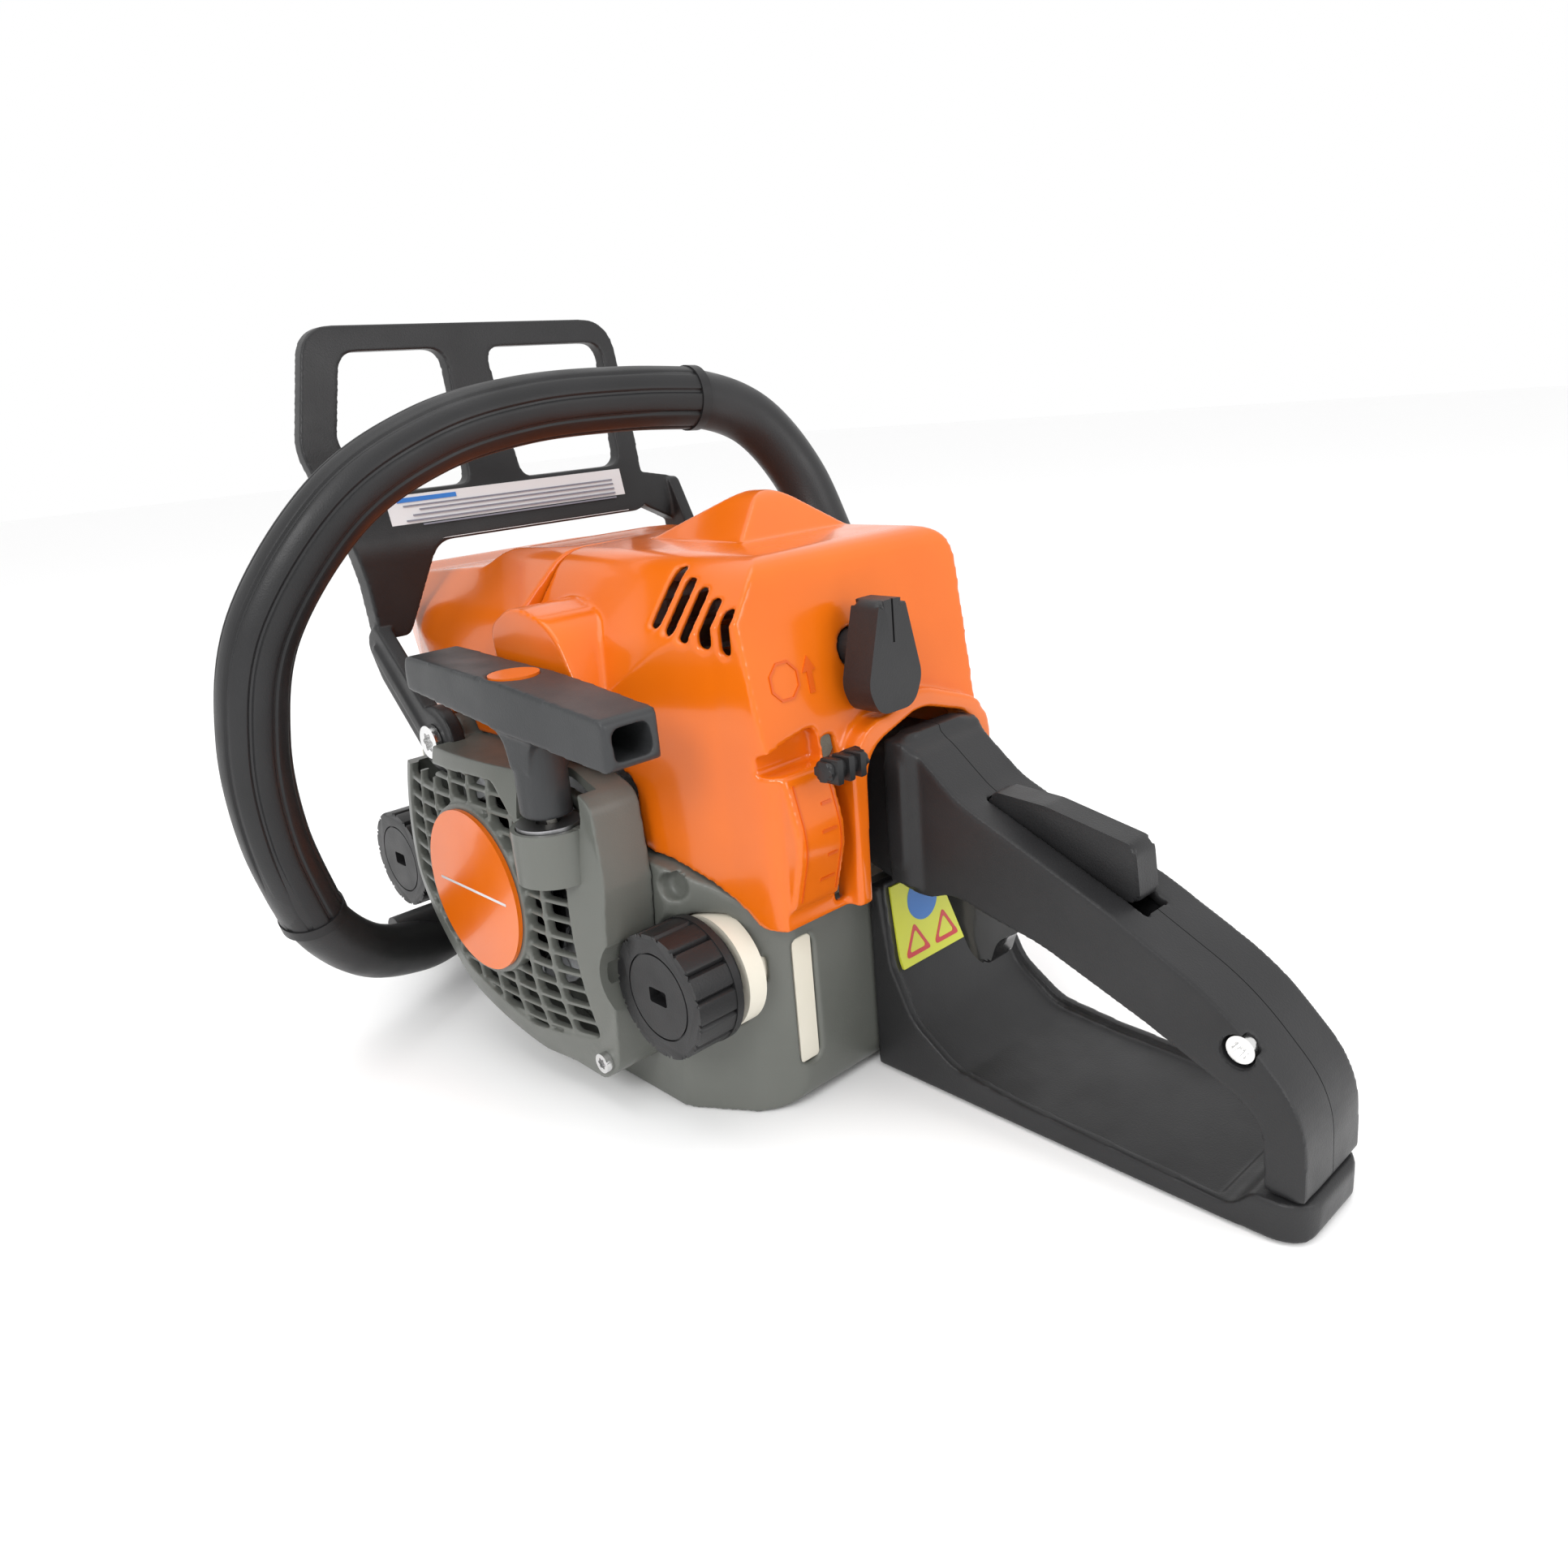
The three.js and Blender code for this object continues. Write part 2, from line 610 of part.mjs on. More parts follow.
// ---------------------------------------------------------------- front handle and hand guard
const barRight = [
  [-32, -50, 30], [-32, -51, 62], [-30, -52, 98], [-20, -54, 132], [1, -56, 166], [13, -52, 195],
    [20, -36, 217],
];
const barLeft = [
  [23, -10, 226.5], [25, 20, 228], [26, 60, 227], [27, 96, 220], [32, 127, 203], [42, 152, 170],
    [50, 160, 135],
  [58, 158, 100], [68, 148, 65], [80, 128, 40], [94, 102, 27], [104, 82, 24], [108, 70, 24],
];

// the soft sleeve covers the route from its ring, at the top, down to the lower bend
const barRoute = smoothCurve([...barRight, ...barLeft]);
const sleeveRoute = stretchOf(barRoute, 7 / 19, 15 / 19);
const sleeveBore = stretchOf(barRoute, 6.8 / 19, 15.2 / 19);

function frontHandle() {
  const core = tube(barRoute, barRadius, 8, 30);
  return cut(core, tube(sleeveRoute, barRadius + 3, 8, 18).subtract(tube(sleeveRoute, 7.2, 8, 18)));
}

function gripSleeve() {
  return cut(tube(sleeveRoute, barRadius + 0.5, 10, 18), tube(sleeveBore, 8.6, 8, 18));
}

function handGuard() {
  const plate = outline([
    [-28, 184, 8], [-31, 215, 20], [-30, 261, 14], [99, 261, 14], [111, 220, 30], [99, 172, 14],
      [96, 151, 3],
    [84, 151, 4], [70, 184, 14],
  ]);
  const leftWindow = outline([[50, 203, 8], [47, 252, 8], [88, 252, 10], [97, 222, 16], [88, 203, 8]]);
  const rightWindow = outline([[-20, 203, 8], [-24, 252, 10], [30, 252, 8], [27, 203, 8]]);
  const lean = outline([
    [98, 262, 0], [103, 262, 0], [94, 215, 0], [88, 184, 0], [95.5, 148, 0], [88, 147, 0], [81, 184, 0],
      [89, 215, 0],
  ]);
  const face = slab("x", plate, 60, 120).intersect(slab("y", lean, -60, 130));
  const leftArm = slab("y", outline([
    [88, 158, 4], [94, 150, 6], [88, 138, 8], [60, 110, 8], [48, 110, 6], [47, 124, 6], [60, 126, 6],
      [82, 150, 6],
  ]), 92, 98);
  const rightArm = slab("y", outline([
    [82, 196, 4], [90, 196, 4], [88, 176, 12], [62, 110, 9], [47, 110, 7], [46, 124, 8],
  ]), -46.5, -41);
  const rightWeb = slab("x", outline([[-45.5, 172, 3], [-45.5, 194, 6], [-29, 214, 6], [-20, 190, 4],
    [-24, 184.6, 2]]), 60, 120)
    .intersect(slab("y", lean, -60, 130));
  return cut(
    join(cut(face, slab("x", leftWindow, 50, 130), slab("x", rightWindow, 50, 130)), leftArm, rightArm,
      rightWeb),
    rod("y", 3, -60, 120, [guardPivot.x, guardPivot.z], 12),
  );
}

addPart("front_handle", frontHandle(), gripBlack);
addPart("front_handle_sleeve", gripSleeve(), softBlack);
addPart("handle_foot_right", cut(
  box(-46, -20.5, -58, -38.4, 24, 50),
  rod("z", barRadius + 1, 29.6, 60, [-32, -50.4], 12),
), gripBlack);
addPart("hand_guard", handGuard(), gripBlack);

// ---------------------------------------------------------------- rear handle
// side outline of the grip: over the top from the collar to the heel, back along the finger side
const gripTop = [[-66, 118, 2], [-99, 118, 6], [-117, 103, 6], [-169, 80, 10], [-203, 62, 20],
  [-226, 38, 16], [-227, 12.5, 3]];
const gripUnder = [[-215.5, 12.5, 2], [-215, 34, 14], [-181, 50, 14], [-146, 64, 6], [-128, 68, 6],
  [-113, 72, 8], [-103, 68, 8], [-66, 74, 4]];
const gripTopInner = [[-60, 114, 0], [-98, 114, 5], [-115, 99.5, 5], [-168, 76.5, 8], [-201, 59, 16],
  [-222.5, 36, 14], [-223.5, 8, 0]];
const gripUnderInner = [[-219, 8, 0], [-218.5, 35, 16], [-183, 53.5, 14], [-147, 67.5, 6],
  [-128, 71.5, 6], [-113, 76, 8], [-103, 72, 8], [-60, 78, 0]];

const triggerAxis = [-106, 82];
const lockoutAxis = [-123, 95.5];

function handleHalf(side) {
  const from = side > 0 ? gap / 2 : -gripHalf;
  const to = side > 0 ? gripHalf : -gap / 2;
  // a full-height core between two lower flanks, so that the grip's edges are stepped
  const core = slab("y", outline([...gripTop, ...gripUnder]), 5 - gripHalf, gripHalf - 5);
  const flanks = slab("y", outline([...gripTopInner, ...gripUnderInner]), -gripHalf, gripHalf)
    .intersect(box(-240, -66, -20, 20, 12.5, 130));
  const whole = join(core, flanks).intersect(box(-240, -60, from, to, 0, 130));
  const inside = slab(
    "y",
    outline([...gripTopInner, ...gripUnderInner]),
    side > 0 ? -1 : -8.5,
    side > 0 ? 8.5 : 1,
  );
  const collar = slab("x", outline([[-20, 71, 8], [-20, 121, 8], [20, 121, 8], [20, 71, 8]]), -97, -90)
    .intersect(box(-100, -85, from, side > 0 ? 30 : to, 60, 130).add(box(-100, -85,
      side > 0 ? from : -30, to, 60, 130)));
  return cut(
    join(whole, collar),
    inside,
    slab("y", outline([[-114, 90, 0], [-122, 108, 0], [-174, 100, 0], [-174, 72, 0],
      [-150, 84, 0]]), -6, 6),
    box(-139, -98, -7, 7, 50, 80),
    rod("y", 2.3, -14, 30, [-207, 51], 10),
    rod("y", 2.3, -14, 14, triggerAxis, 10),
    rod("y", 2.1, -14, 14, lockoutAxis, 10),
  );
}

function handleBase() {
  const plate = [
    [-79 - gap, 0, 2], [-229, 0, 6], [-229, 12, 2], [-213, 12, 3], [-209, 5.6, 6], [-137, 8.5, 10],
      [-112, 11, 12],
    [-97, 22, 12], [-88, 40, 8], [-85, 68, 3], [-79 - gap, 68, 0],
  ];
  const foot = box(-230, -205, -44, 21, -1, 14).intersect(
    slab("z", outline([[-240, -13, 0], [-240, 20, 7], [-200, 20, 0], [-200, -44, 0], [-214, -44, 10],
      [-222, -15, 6]]), -2, 20),
  );
  const channel = slab("y", outline([
    [-70, 4.4, 0], [-204, 3, 3], [-206, 30, 0], [-110, 30, 0], [-100, 70, 0], [-70, 80, 0],
  ]), -36, 14);
  const lipProfile = slab("y", outline(plate), -44, 20);
  const bulk = slab("y", outline([
    [-79 - gap, 0, 2], [-207, 0, 4], [-207, 3.6, 2], [-137, 5, 10], [-110, 8, 12], [-94, 18, 12],
      [-84.5, 38, 8], [-83, 66, 2],
    [-79 - gap, 66, 0],
  ]), -43, 19);
  return join(
    cut(lipProfile, box(-240, -206, -50, 30, -2, 60), channel),
    bulk,
    lipProfile.intersect(foot),
  );
}

addPart("rear_handle_left", handleHalf(1), gripBlack);
addPart("rear_handle_right", handleHalf(-1), gripBlack);
addPart("rear_handle_base", handleBase(), gripBlack);

// ---------------------------------------------------------------- controls
addPart("throttle_trigger", cut(
  slab("y", outline([
    [-106, 88, 5], [-100, 84, 4], [-101, 66, 6], [-111, 46, 5], [-118, 44, 4], [-121, 54, 6],
      [-131, 60, 3], [-131, 72, 3],
    [-118, 76, 4],
  ]), -5.6, 5.6),
  rod("y", 2.3, -20, 20, triggerAxis, 10),
), glossBlack);
addPart("trigger_pin", rod("y", 2, -13.2, 13.2, triggerAxis, 10), steel);
addPart("throttle_lockout", cut(
  slab("y", outline([
    [-118, 92, 2], [-120, 104, 2], [-140, 102, 6], [-170, 96, 3], [-171.5, 84, 2], [-160, 88, 8],
      [-136, 95, 4], [-127, 90, 3],
  ]), -5, 5),
  rod("y", 2.1, -20, 20, lockoutAxis, 10),
), gripBlack);
addPart("lockout_pin", rod("y", 1.8, -13.2, 13.2, lockoutAxis, 10), steel);
addPart("throttle_rod", tube(smoothCurve([
  [-95, 0, 88], [-84, 0, 90], [-64, -3, 94], [-48, -6, 99], [-34, -6, 109],
]), 1.2, 8, 8), steel);
addPart("control_lever", cut(
  join(
    rod("y", 7, 38, 42, [-56, 98], 16),
    slab("y", outline([[-56, 94, 1], [-98, 117, 2], [-100, 123, 2], [-96, 123.5, 2],
      [-56, 102, 1]]), 38, 42),
    slab("y", outline([[-97, 117.6, 2], [-103, 118, 2.5], [-104, 123.6, 2.5], [-97, 123.6, 2]]), 38, 58),
  ),
  rod("y", 3.3, 20, 60, [-56, 98], 12),
), softBlack);
addPart("control_shaft", join(
  rod("y", 2.9, 30, 44, [-56, 98], 12),
  box(-58, -54, 30, 34, 69, 98),
  box(-64, -48, 26, 38, 68.4, 71),
), steel);
addPart("choke_butterfly", rod("z", 6.6, 119.4, 120.6, [-38, cylinderAxisY], 14), brass);

// ---------------------------------------------------------------- anti-vibration springs
function coilSpring(axis, centre, from, to, radius = 7) {
  return ring(axis, radius, radius - 2.2, from, to, centre, 14);
}

addPart("spring_rear", coilSpring("z", [-40, -14], deckHeight + 1.5, 95), steel);

// ---------------------------------------------------------------- clutch side, on the right
function sprocket() {
  const teeth = 6;
  const profile = new THREE.Shape();
  for (let i = 0; i < teeth * 2; i += 1) {
    const angle = (i / teeth / 2) * 2 * Math.PI;
    const radius = i % 2 === 0 ? 17 : 12.5;
    const point = [crank.x + radius * Math.cos(angle), crank.z + radius * Math.sin(angle)];
    if (i === 0) profile.moveTo(...point);
    else profile.lineTo(...point);
  }
  profile.closePath();
  const centre = [crank.x, crank.z];
  return cut(
    join(
      cut(rod("y", clutchRadius + 4, -52, -44, centre, 32), rod("y", clutchRadius + 1.5, -50, -40,
        centre, 28)),
      slab("y", profile, -59, -51.5),
    ),
    rod("y", 7, -70, -40, centre, 16),
  );
}

function sprocketCover() {
  const shape = outline([
    [-19, 36, 14], [-4, 24, 12], [138, 24, 12], [142, 84, 12], [104, 98, 10], [44, 104, 10], [36, 112, 8],
    [-8, 112, 18], [-19, 96, 12],
  ]);
  const hollow = outline([
    [-16, 38, 12], [-3, 27, 10], [160, 27, 0], [160, 82, 0], [103, 95, 10], [42, 101, 10], [33, 109, 8],
    [-7, 109, 16], [-16, 95, 10],
  ]);
  return cut(
    slab("y", shape, coverRight, bodyRight - gap),
    slab("y", hollow, coverRight + 2.6, bodyRight + 1),
    ...studX.map((x) => rod("y", 4.4, -80, -30, [x, studZ], 12)),
    ...[[48, 92], [62, 86], [76, 80]].map(([x, z]) => slab("y", outline([
      [x - 3, z - 14, 2], [x + 3, z - 14, 2], [x + 3, z + 8, 2], [x - 3, z + 8, 2],
    ]), -80, -50, 1)),
  );
}

addPart("clutch_shoes", join(
  ring("y", 13, 7, -50, -45, [crank.x, crank.z], 20),
  ...[0, 1, 2].map((i) => {
    const angle = (i / 3) * 2 * Math.PI;
    return rodBetween(
      [crank.x + 11 * Math.cos(angle), -47.4, crank.z + 11 * Math.sin(angle)],
      [crank.x + 29 * Math.cos(angle), -47.4, crank.z + 29 * Math.sin(angle)],
      2.2,
      8,
    );
  }),
), steel);
addPart("sprocket_drum", sprocket(), steel);
addPart("brake_band", cut(
  ring("y", clutchRadius + 6, clutchRadius + 4.6, -50, -45, [crank.x, crank.z], 28),
  box(crank.x + 20, crank.x + 60, -60, -30, crank.z - 5, crank.z + 5),
), steel);
addPart("oil_pump", ring("y", 12, 8, -43.4, -38.4, [crank.x, crank.z], 16), brass);
studX.forEach((x, i) => {
  addPart(`bar_stud_${i + 1}`, rod("y", 4, -66, -34.4, [x, studZ], 12), steel);
  addPart(`cover_nut_${i + 1}`, cut(
    rod("y", 7.5, coverRight - 7, coverRight - gap, [x, studZ], 6),
    rod("y", 4.3, -90, -50, [x, studZ], 12),
  ), steel);
});
addPart("tensioner_screw", join(
  rod("x", 2.4, 76, 116, [-47, 44], 10),
  rod("x", 3.6, 116, 120, [-47, 44], 12),
), steel);
addPart("tensioner_nut", cut(
  join(box(92, 98, -51, -43, 40, 48), rod("y", 2.2, -56, -50, [95, 44], 10)),
  rod("x", 2.8, 60, 130, [-47, 44], 12),
), steel);
addPart("sprocket_cover", sprocketCover(), softBlack);
addPart("chain_catcher", box(66, 84, -60, -38.4, 11, 19), aluminium);

// ---------------------------------------------------------------- visible screws
addPart("guard_screw_left", screw("y", [guardPivot.x, guardPivot.z], 98.3, 83, 5, 2.5), chrome);
addPart("guard_screw_right", screw("y", [guardPivot.x, guardPivot.z], -46.8, -37, 5, 2.5), chrome);
addPart("handle_screw_rear", screw("y", [-207, 51], 17.4, -13, 4, 1.9), chrome);

// ---------------------------------------------------------------- origin at the bottom centre
const bounds = new THREE.Box3().setFromObject(saw);
const middle = bounds.getCenter(new THREE.Vector3());
saw.position.set(-middle.x, -middle.y, -bounds.min.z);

export default saw;
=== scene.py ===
# Petrol chainsaw power head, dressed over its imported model. Metres, +X forward, +Y left, +Z up.
# Outlines below are in millimetres from the rear handle's parting plane, on the ground.
import bpy, bmesh, math
from mathutils import Matrix, Vector


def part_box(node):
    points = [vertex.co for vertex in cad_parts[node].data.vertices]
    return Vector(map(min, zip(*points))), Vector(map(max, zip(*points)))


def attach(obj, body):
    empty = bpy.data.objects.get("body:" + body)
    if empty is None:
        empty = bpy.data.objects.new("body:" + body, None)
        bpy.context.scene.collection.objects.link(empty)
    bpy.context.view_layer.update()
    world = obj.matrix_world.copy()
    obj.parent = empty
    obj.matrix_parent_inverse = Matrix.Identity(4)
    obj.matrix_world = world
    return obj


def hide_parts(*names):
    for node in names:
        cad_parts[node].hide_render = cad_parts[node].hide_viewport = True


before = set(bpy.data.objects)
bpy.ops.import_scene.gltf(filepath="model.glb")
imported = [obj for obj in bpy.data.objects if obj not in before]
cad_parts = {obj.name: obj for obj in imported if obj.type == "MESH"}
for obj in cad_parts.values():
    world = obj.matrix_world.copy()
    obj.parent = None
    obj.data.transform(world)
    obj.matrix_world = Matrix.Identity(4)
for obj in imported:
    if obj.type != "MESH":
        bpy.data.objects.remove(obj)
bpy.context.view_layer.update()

crankLow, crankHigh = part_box("crankshaft")
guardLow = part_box("hand_guard")[0]
crankX, crankZ = 22, 70     # the crankshaft's axis
armY = -46.5                # the outer face of the guard's right arm
guardPivot = (54, 118)      # x and z of the guard's two screws
studX, studZ = (94, 124), 62
ropeX, ropeY = -23, 102     # where the starter rope comes out
shiftX = (crankLow[0] + crankHigh[0]) / 2 - crankX / 1000
shiftY = guardLow[1] - armY / 1000


def at(x, y, z):
    return Vector((x / 1000 + shiftX, y / 1000 + shiftY, z / 1000))


# ---- camera and light

camera = {"place": (-332.3, 279.9, 222.8), "yaw": -41.93, "pitch": 17.95, "roll": -5.01, "lens": 27.08}


def setCamera():
    yaw, pitch, roll = (math.radians(camera[k]) for k in ("yaw", "pitch", "roll"))
    ahead = Vector((math.cos(pitch) * math.cos(yaw), math.cos(pitch) * math.sin(yaw), -math.sin(pitch)))
    right = Vector((math.sin(yaw), -math.cos(yaw), 0))
    up = right.cross(ahead)
    rolledRight = right * math.cos(roll) + up * math.sin(roll)
    rolledUp = up * math.cos(roll) - right * math.sin(roll)
    turn = Matrix((rolledRight, rolledUp, -ahead)).transposed().to_4x4()
    data = bpy.data.cameras.new("camera")
    data.lens = camera["lens"]
    data.sensor_width = 36
    data.clip_start = 0.01
    cameraObject = bpy.data.objects.new("camera", data)
    cameraObject.matrix_world = Matrix.Translation(at(*camera["place"])) @ turn
    bpy.context.collection.objects.link(cameraObject)
    bpy.context.scene.camera = cameraObject


def setStudio():
    world = bpy.data.worlds.new("studio")
    world.use_nodes = True
    world.node_tree.nodes["Background"].inputs[0].default_value = (1, 1, 1, 1)
    world.node_tree.nodes["Background"].inputs[1].default_value = 1.0
    bpy.context.scene.world = world
    bpy.context.scene.view_settings.view_transform = "Standard"
    lights = [  # name, place, size, watts
        ("overhead", (0.0, 0.1, 1.3), 1.0, 5),
        ("leftWindow", (-0.5, 1.1, 0.9), 0.45, 8),
        ("rearFill", (-1.2, -0.3, 0.6), 0.6, 4),
    ]
    for name, place, size, watts in lights:
        data = bpy.data.lights.new(name, "AREA")
        data.energy = watts
        data.size = size
        lamp = bpy.data.objects.new(name, data)
        lamp.location = place
        lamp.rotation_euler = (Vector((0, 0, 0.1)) - Vector(place)).to_track_quat("-Z", "Y").to_euler()
        bpy.context.collection.objects.link(lamp)
    mesh = bpy.data.meshes.new("floor")
    mesh.from_pydata([(-6, -6, 0), (6, -6, 0), (6, 6, 0), (-6, 6, 0)], [], [(0, 1, 2, 3)])
    floor = bpy.data.objects.new("floor", mesh)
    floor.location.z = -0.0005
    bpy.context.collection.objects.link(floor)
    floor.data.materials.append(floorFinish())


# ---- finishes

def newMaterial(name):
    material = bpy.data.materials.new(name)
    material.use_nodes = True
    tree = material.node_tree
    return material, tree, tree.nodes["Principled BSDF"]


def floorFinish():
    material, tree, shader = newMaterial("floor")
    shader.inputs["Base Color"].default_value = (0.97, 0.97, 0.97, 1)
    shader.inputs["Roughness"].default_value = 0.9
    return material


def addNoise(tree, scale, detail=3.0):
    place = tree.nodes.new("ShaderNodeTexCoord")
    noise = tree.nodes.new("ShaderNodeTexNoise")
    noise.inputs["Scale"].default_value = scale
    noise.inputs["Detail"].default_value = detail
    tree.links.new(place.outputs["Object"], noise.inputs["Vector"])
    return noise.outputs["Fac"]


def addRange(tree, source, low, high):
    stretch = tree.nodes.new("ShaderNodeMapRange")
    stretch.inputs["From Min"].default_value = 0.3
    stretch.inputs["From Max"].default_value = 0.7
    stretch.inputs["To Min"].default_value = low
    stretch.inputs["To Max"].default_value = high
    tree.links.new(source, stretch.inputs["Value"])
    return stretch.outputs["Result"]


patches = {"colour": 22, "gloss": 66}      # how fine the uneven colour and gloss are


# a finish with uneven colour, uneven gloss and a fine moulded or machined grain
def surface(name, colour, patchColour, rough, grain=900, bump=0.1, metal=0.0, coat=0.0, depth=0.0002,
            shine=0.5):
    material, tree, shader = newMaterial(name)
    mix = tree.nodes.new("ShaderNodeMix")
    mix.data_type = "RGBA"
    mix.inputs["A"].default_value = (*colour, 1)
    mix.inputs["B"].default_value = (*patchColour, 1)
    tree.links.new(addRange(tree, addNoise(tree, patches["colour"]), 0, 1), mix.inputs["Factor"])
    tree.links.new(mix.outputs["Result"], shader.inputs["Base Color"])
    tree.links.new(addRange(tree, addNoise(tree, patches["gloss"]), *rough), shader.inputs["Roughness"])
    bumpNode = tree.nodes.new("ShaderNodeBump")
    bumpNode.inputs["Strength"].default_value = bump
    bumpNode.inputs["Distance"].default_value = depth
    tree.links.new(addNoise(tree, grain, 4.0), bumpNode.inputs["Height"])
    tree.links.new(bumpNode.outputs["Normal"], shader.inputs["Normal"])
    shader.inputs["Metallic"].default_value = metal
    shader.inputs["Coat Weight"].default_value = coat
    shader.inputs["Coat Roughness"].default_value = 0.06
    shader.inputs["Specular IOR Level"].default_value = shine
    return material


finish = {
    "orange": surface("orangeGloss", (0.65, 0.12, 0.003), (0.7, 0.138, 0.004), (0.17, 0.25), 500, 0.05,
                      coat=0.22, shine=0.4),
    "grey": surface("housingGrey", (0.105, 0.11, 0.098), (0.122, 0.127, 0.114), (0.28, 0.42), 1500, 0.22,
                    shine=0.42),
    "black": surface("grainedBlack", (0.013, 0.013, 0.0138), (0.02, 0.02, 0.021), (0.34, 0.48), 1700, 0.35,
                     shine=0.34),
    "sleeve": surface("softSleeve", (0.01, 0.01, 0.0105), (0.015, 0.015, 0.016), (0.36, 0.48), 1900, 0.3,
                      shine=0.32),
    "grip": surface("starterGrey", (0.026, 0.0275, 0.029), (0.034, 0.0355, 0.0375), (0.34, 0.46), 1600, 0.25,
                    shine=0.36),
    "cap": surface("capBlack", (0.011, 0.011, 0.0115), (0.017, 0.017, 0.018), (0.34, 0.48), 1500, 0.25,
                   shine=0.34),
    "gloss": surface("glossBlack", (0.006, 0.006, 0.006), (0.009, 0.009, 0.009), (0.1, 0.18), 500, 0.04,
                     coat=0.4),
    "tank": surface("creamTank", (0.74, 0.7, 0.6), (0.68, 0.64, 0.53), (0.4, 0.5), 700, 0.1),
    "chrome": surface("brightPlate", (0.78, 0.78, 0.77), (0.7, 0.7, 0.7), (0.14, 0.26), 800, 0.08, metal=1.0),
    "steel": surface("machinedSteel", (0.42, 0.42, 0.43), (0.34, 0.34, 0.35), (0.28, 0.45), 900, 0.15,
                     metal=1.0),
    "aluminium": surface("castAluminium", (0.52, 0.53, 0.54), (0.45, 0.46, 0.47), (0.4, 0.6), 700, 0.4,
                         metal=0.9),
    "hotSteel": surface("mufflerSteel", (0.09, 0.085, 0.08), (0.14, 0.12, 0.1), (0.45, 0.65), 500, 0.3,
                        metal=0.7),
    "brass": surface("brass", (0.62, 0.42, 0.14), (0.52, 0.34, 0.1), (0.25, 0.4), 700, 0.1, metal=1.0),
    "rubber": surface("rubber", (0.012, 0.012, 0.012), (0.018, 0.018, 0.018), (0.6, 0.8), 1200, 0.2),
    "felt": surface("filterFelt", (0.7, 0.66, 0.55), (0.58, 0.54, 0.43), (0.85, 0.98), 2200, 0.8,
                    depth=0.0006),
    "rope": surface("braidedNylon", (0.72, 0.7, 0.64), (0.55, 0.53, 0.48), (0.7, 0.85), 1800, 0.7,
                    depth=0.0005),
    "paper": surface("labelWhite", (0.66, 0.66, 0.67), (0.62, 0.62, 0.63), (0.3, 0.4), 600, 0.05),
    "ink": surface("labelInk", (0.2, 0.2, 0.24), (0.16, 0.16, 0.2), (0.4, 0.5), 600, 0.05),
    "inkBlue": surface("labelBlue", (0.03, 0.16, 0.5), (0.04, 0.2, 0.55), (0.3, 0.4), 600, 0.05),
    "inkRed": surface("labelRed", (0.62, 0.05, 0.06), (0.55, 0.04, 0.05), (0.3, 0.4), 600, 0.05),
    "yellow": surface("labelYellow", (0.68, 0.7, 0.05), (0.62, 0.65, 0.06), (0.3, 0.4), 600, 0.05),
    "embossed": surface("embossedOrange", (0.56, 0.08, 0.002), (0.6, 0.09, 0.002), (0.25, 0.35), 500, 0.05),
}
print("finishes ready")


# ---- shaping

# corners are (u, v, radius); the result is a list of points with round corners
def rounded(corners, steps=5):
    points = []
    count = len(corners)
    for i, corner in enumerate(corners):
        here = Vector(corner[:2])
        back = Vector(corners[i - 1][:2]) - here
        ahead = Vector(corners[(i + 1) % count][:2]) - here
        radius = corner[2] if len(corner) > 2 else 0
        if radius == 0:
            points.append(tuple(here))
            continue
        half = back.angle(ahead) / 2
        reach = min(radius / math.tan(half), 0.49 * back.length, 0.49 * ahead.length)
        start, end = here + back.normalized() * reach, here + ahead.normalized() * reach
        for k in range(steps + 1):
            t = k / steps
            points.append(tuple(start * (1 - t) ** 2 + here * 2 * t * (1 - t) + end * t ** 2))
    return points


def circle(u, v, radius, sides=48):
    angles = [k * math.tau / sides for k in range(sides)]
    return [(u + radius * math.cos(a), v + radius * math.sin(a)) for a in angles]


def spread(axis, u, v, w):
    return {"x": (w, u, v), "y": (u, w, v), "z": (u, v, w)}[axis]


def link(name, mesh):
    piece = bpy.data.objects.new(name, mesh)
    bpy.context.collection.objects.link(piece)
    return piece


def meshFrom(bm):
    mesh = bpy.data.meshes.new("piece")
    bmesh.ops.recalc_face_normals(bm, faces=bm.faces)
    bm.to_mesh(mesh)
    bm.free()
    return link("piece", mesh)


# an outline extruded along an axis, with its end edges rounded by edge millimetres
def prism(axis, points, start, end, edge=0.0, segments=3):
    bm = bmesh.new()
    low = [bm.verts.new(at(*spread(axis, u, v, start))) for u, v in points]
    high = [bm.verts.new(at(*spread(axis, u, v, end))) for u, v in points]
    caps = [bm.faces.new(low), bm.faces.new(high)]
    for i in range(len(points)):
        bm.faces.new((low[i - 1], low[i], high[i], high[i - 1]))
    if edge:
        rim = {e for face in caps for e in face.edges}
        bmesh.ops.bevel(bm, geom=list(rim), offset=edge / 1000, segments=segments, profile=0.5,
                        affect="EDGES")
    return meshFrom(bm)


def rod(axis, radius, start, end, u, v, sides=48, edge=0.0):
    return prism(axis, circle(u, v, radius, sides), start, end, edge)


def block(x0, x1, y0, y1, z0, z1, edge=0.0):
    return prism("z", [(x0, y0), (x1, y0), (x1, y1), (x0, y1)], z0, z1, edge)


# writes an object's modifiers into its mesh
def bake(piece):
    graph = bpy.context.evaluated_depsgraph_get()
    mesh = bpy.data.meshes.new_from_object(piece.evaluated_get(graph))
    old = piece.data
    piece.modifiers.clear()
    piece.data = mesh
    bpy.data.meshes.remove(old)
    return piece


def combine(base, tools, how):
    for tool in tools:
        step = base.modifiers.new("join", "BOOLEAN")
        step.operation = how
        step.solver = "MANIFOLD"
        step.object = tool
        bake(base)
        bpy.data.objects.remove(tool)
    return base


def cut(base, *tools):
    return combine(base, tools, "DIFFERENCE")


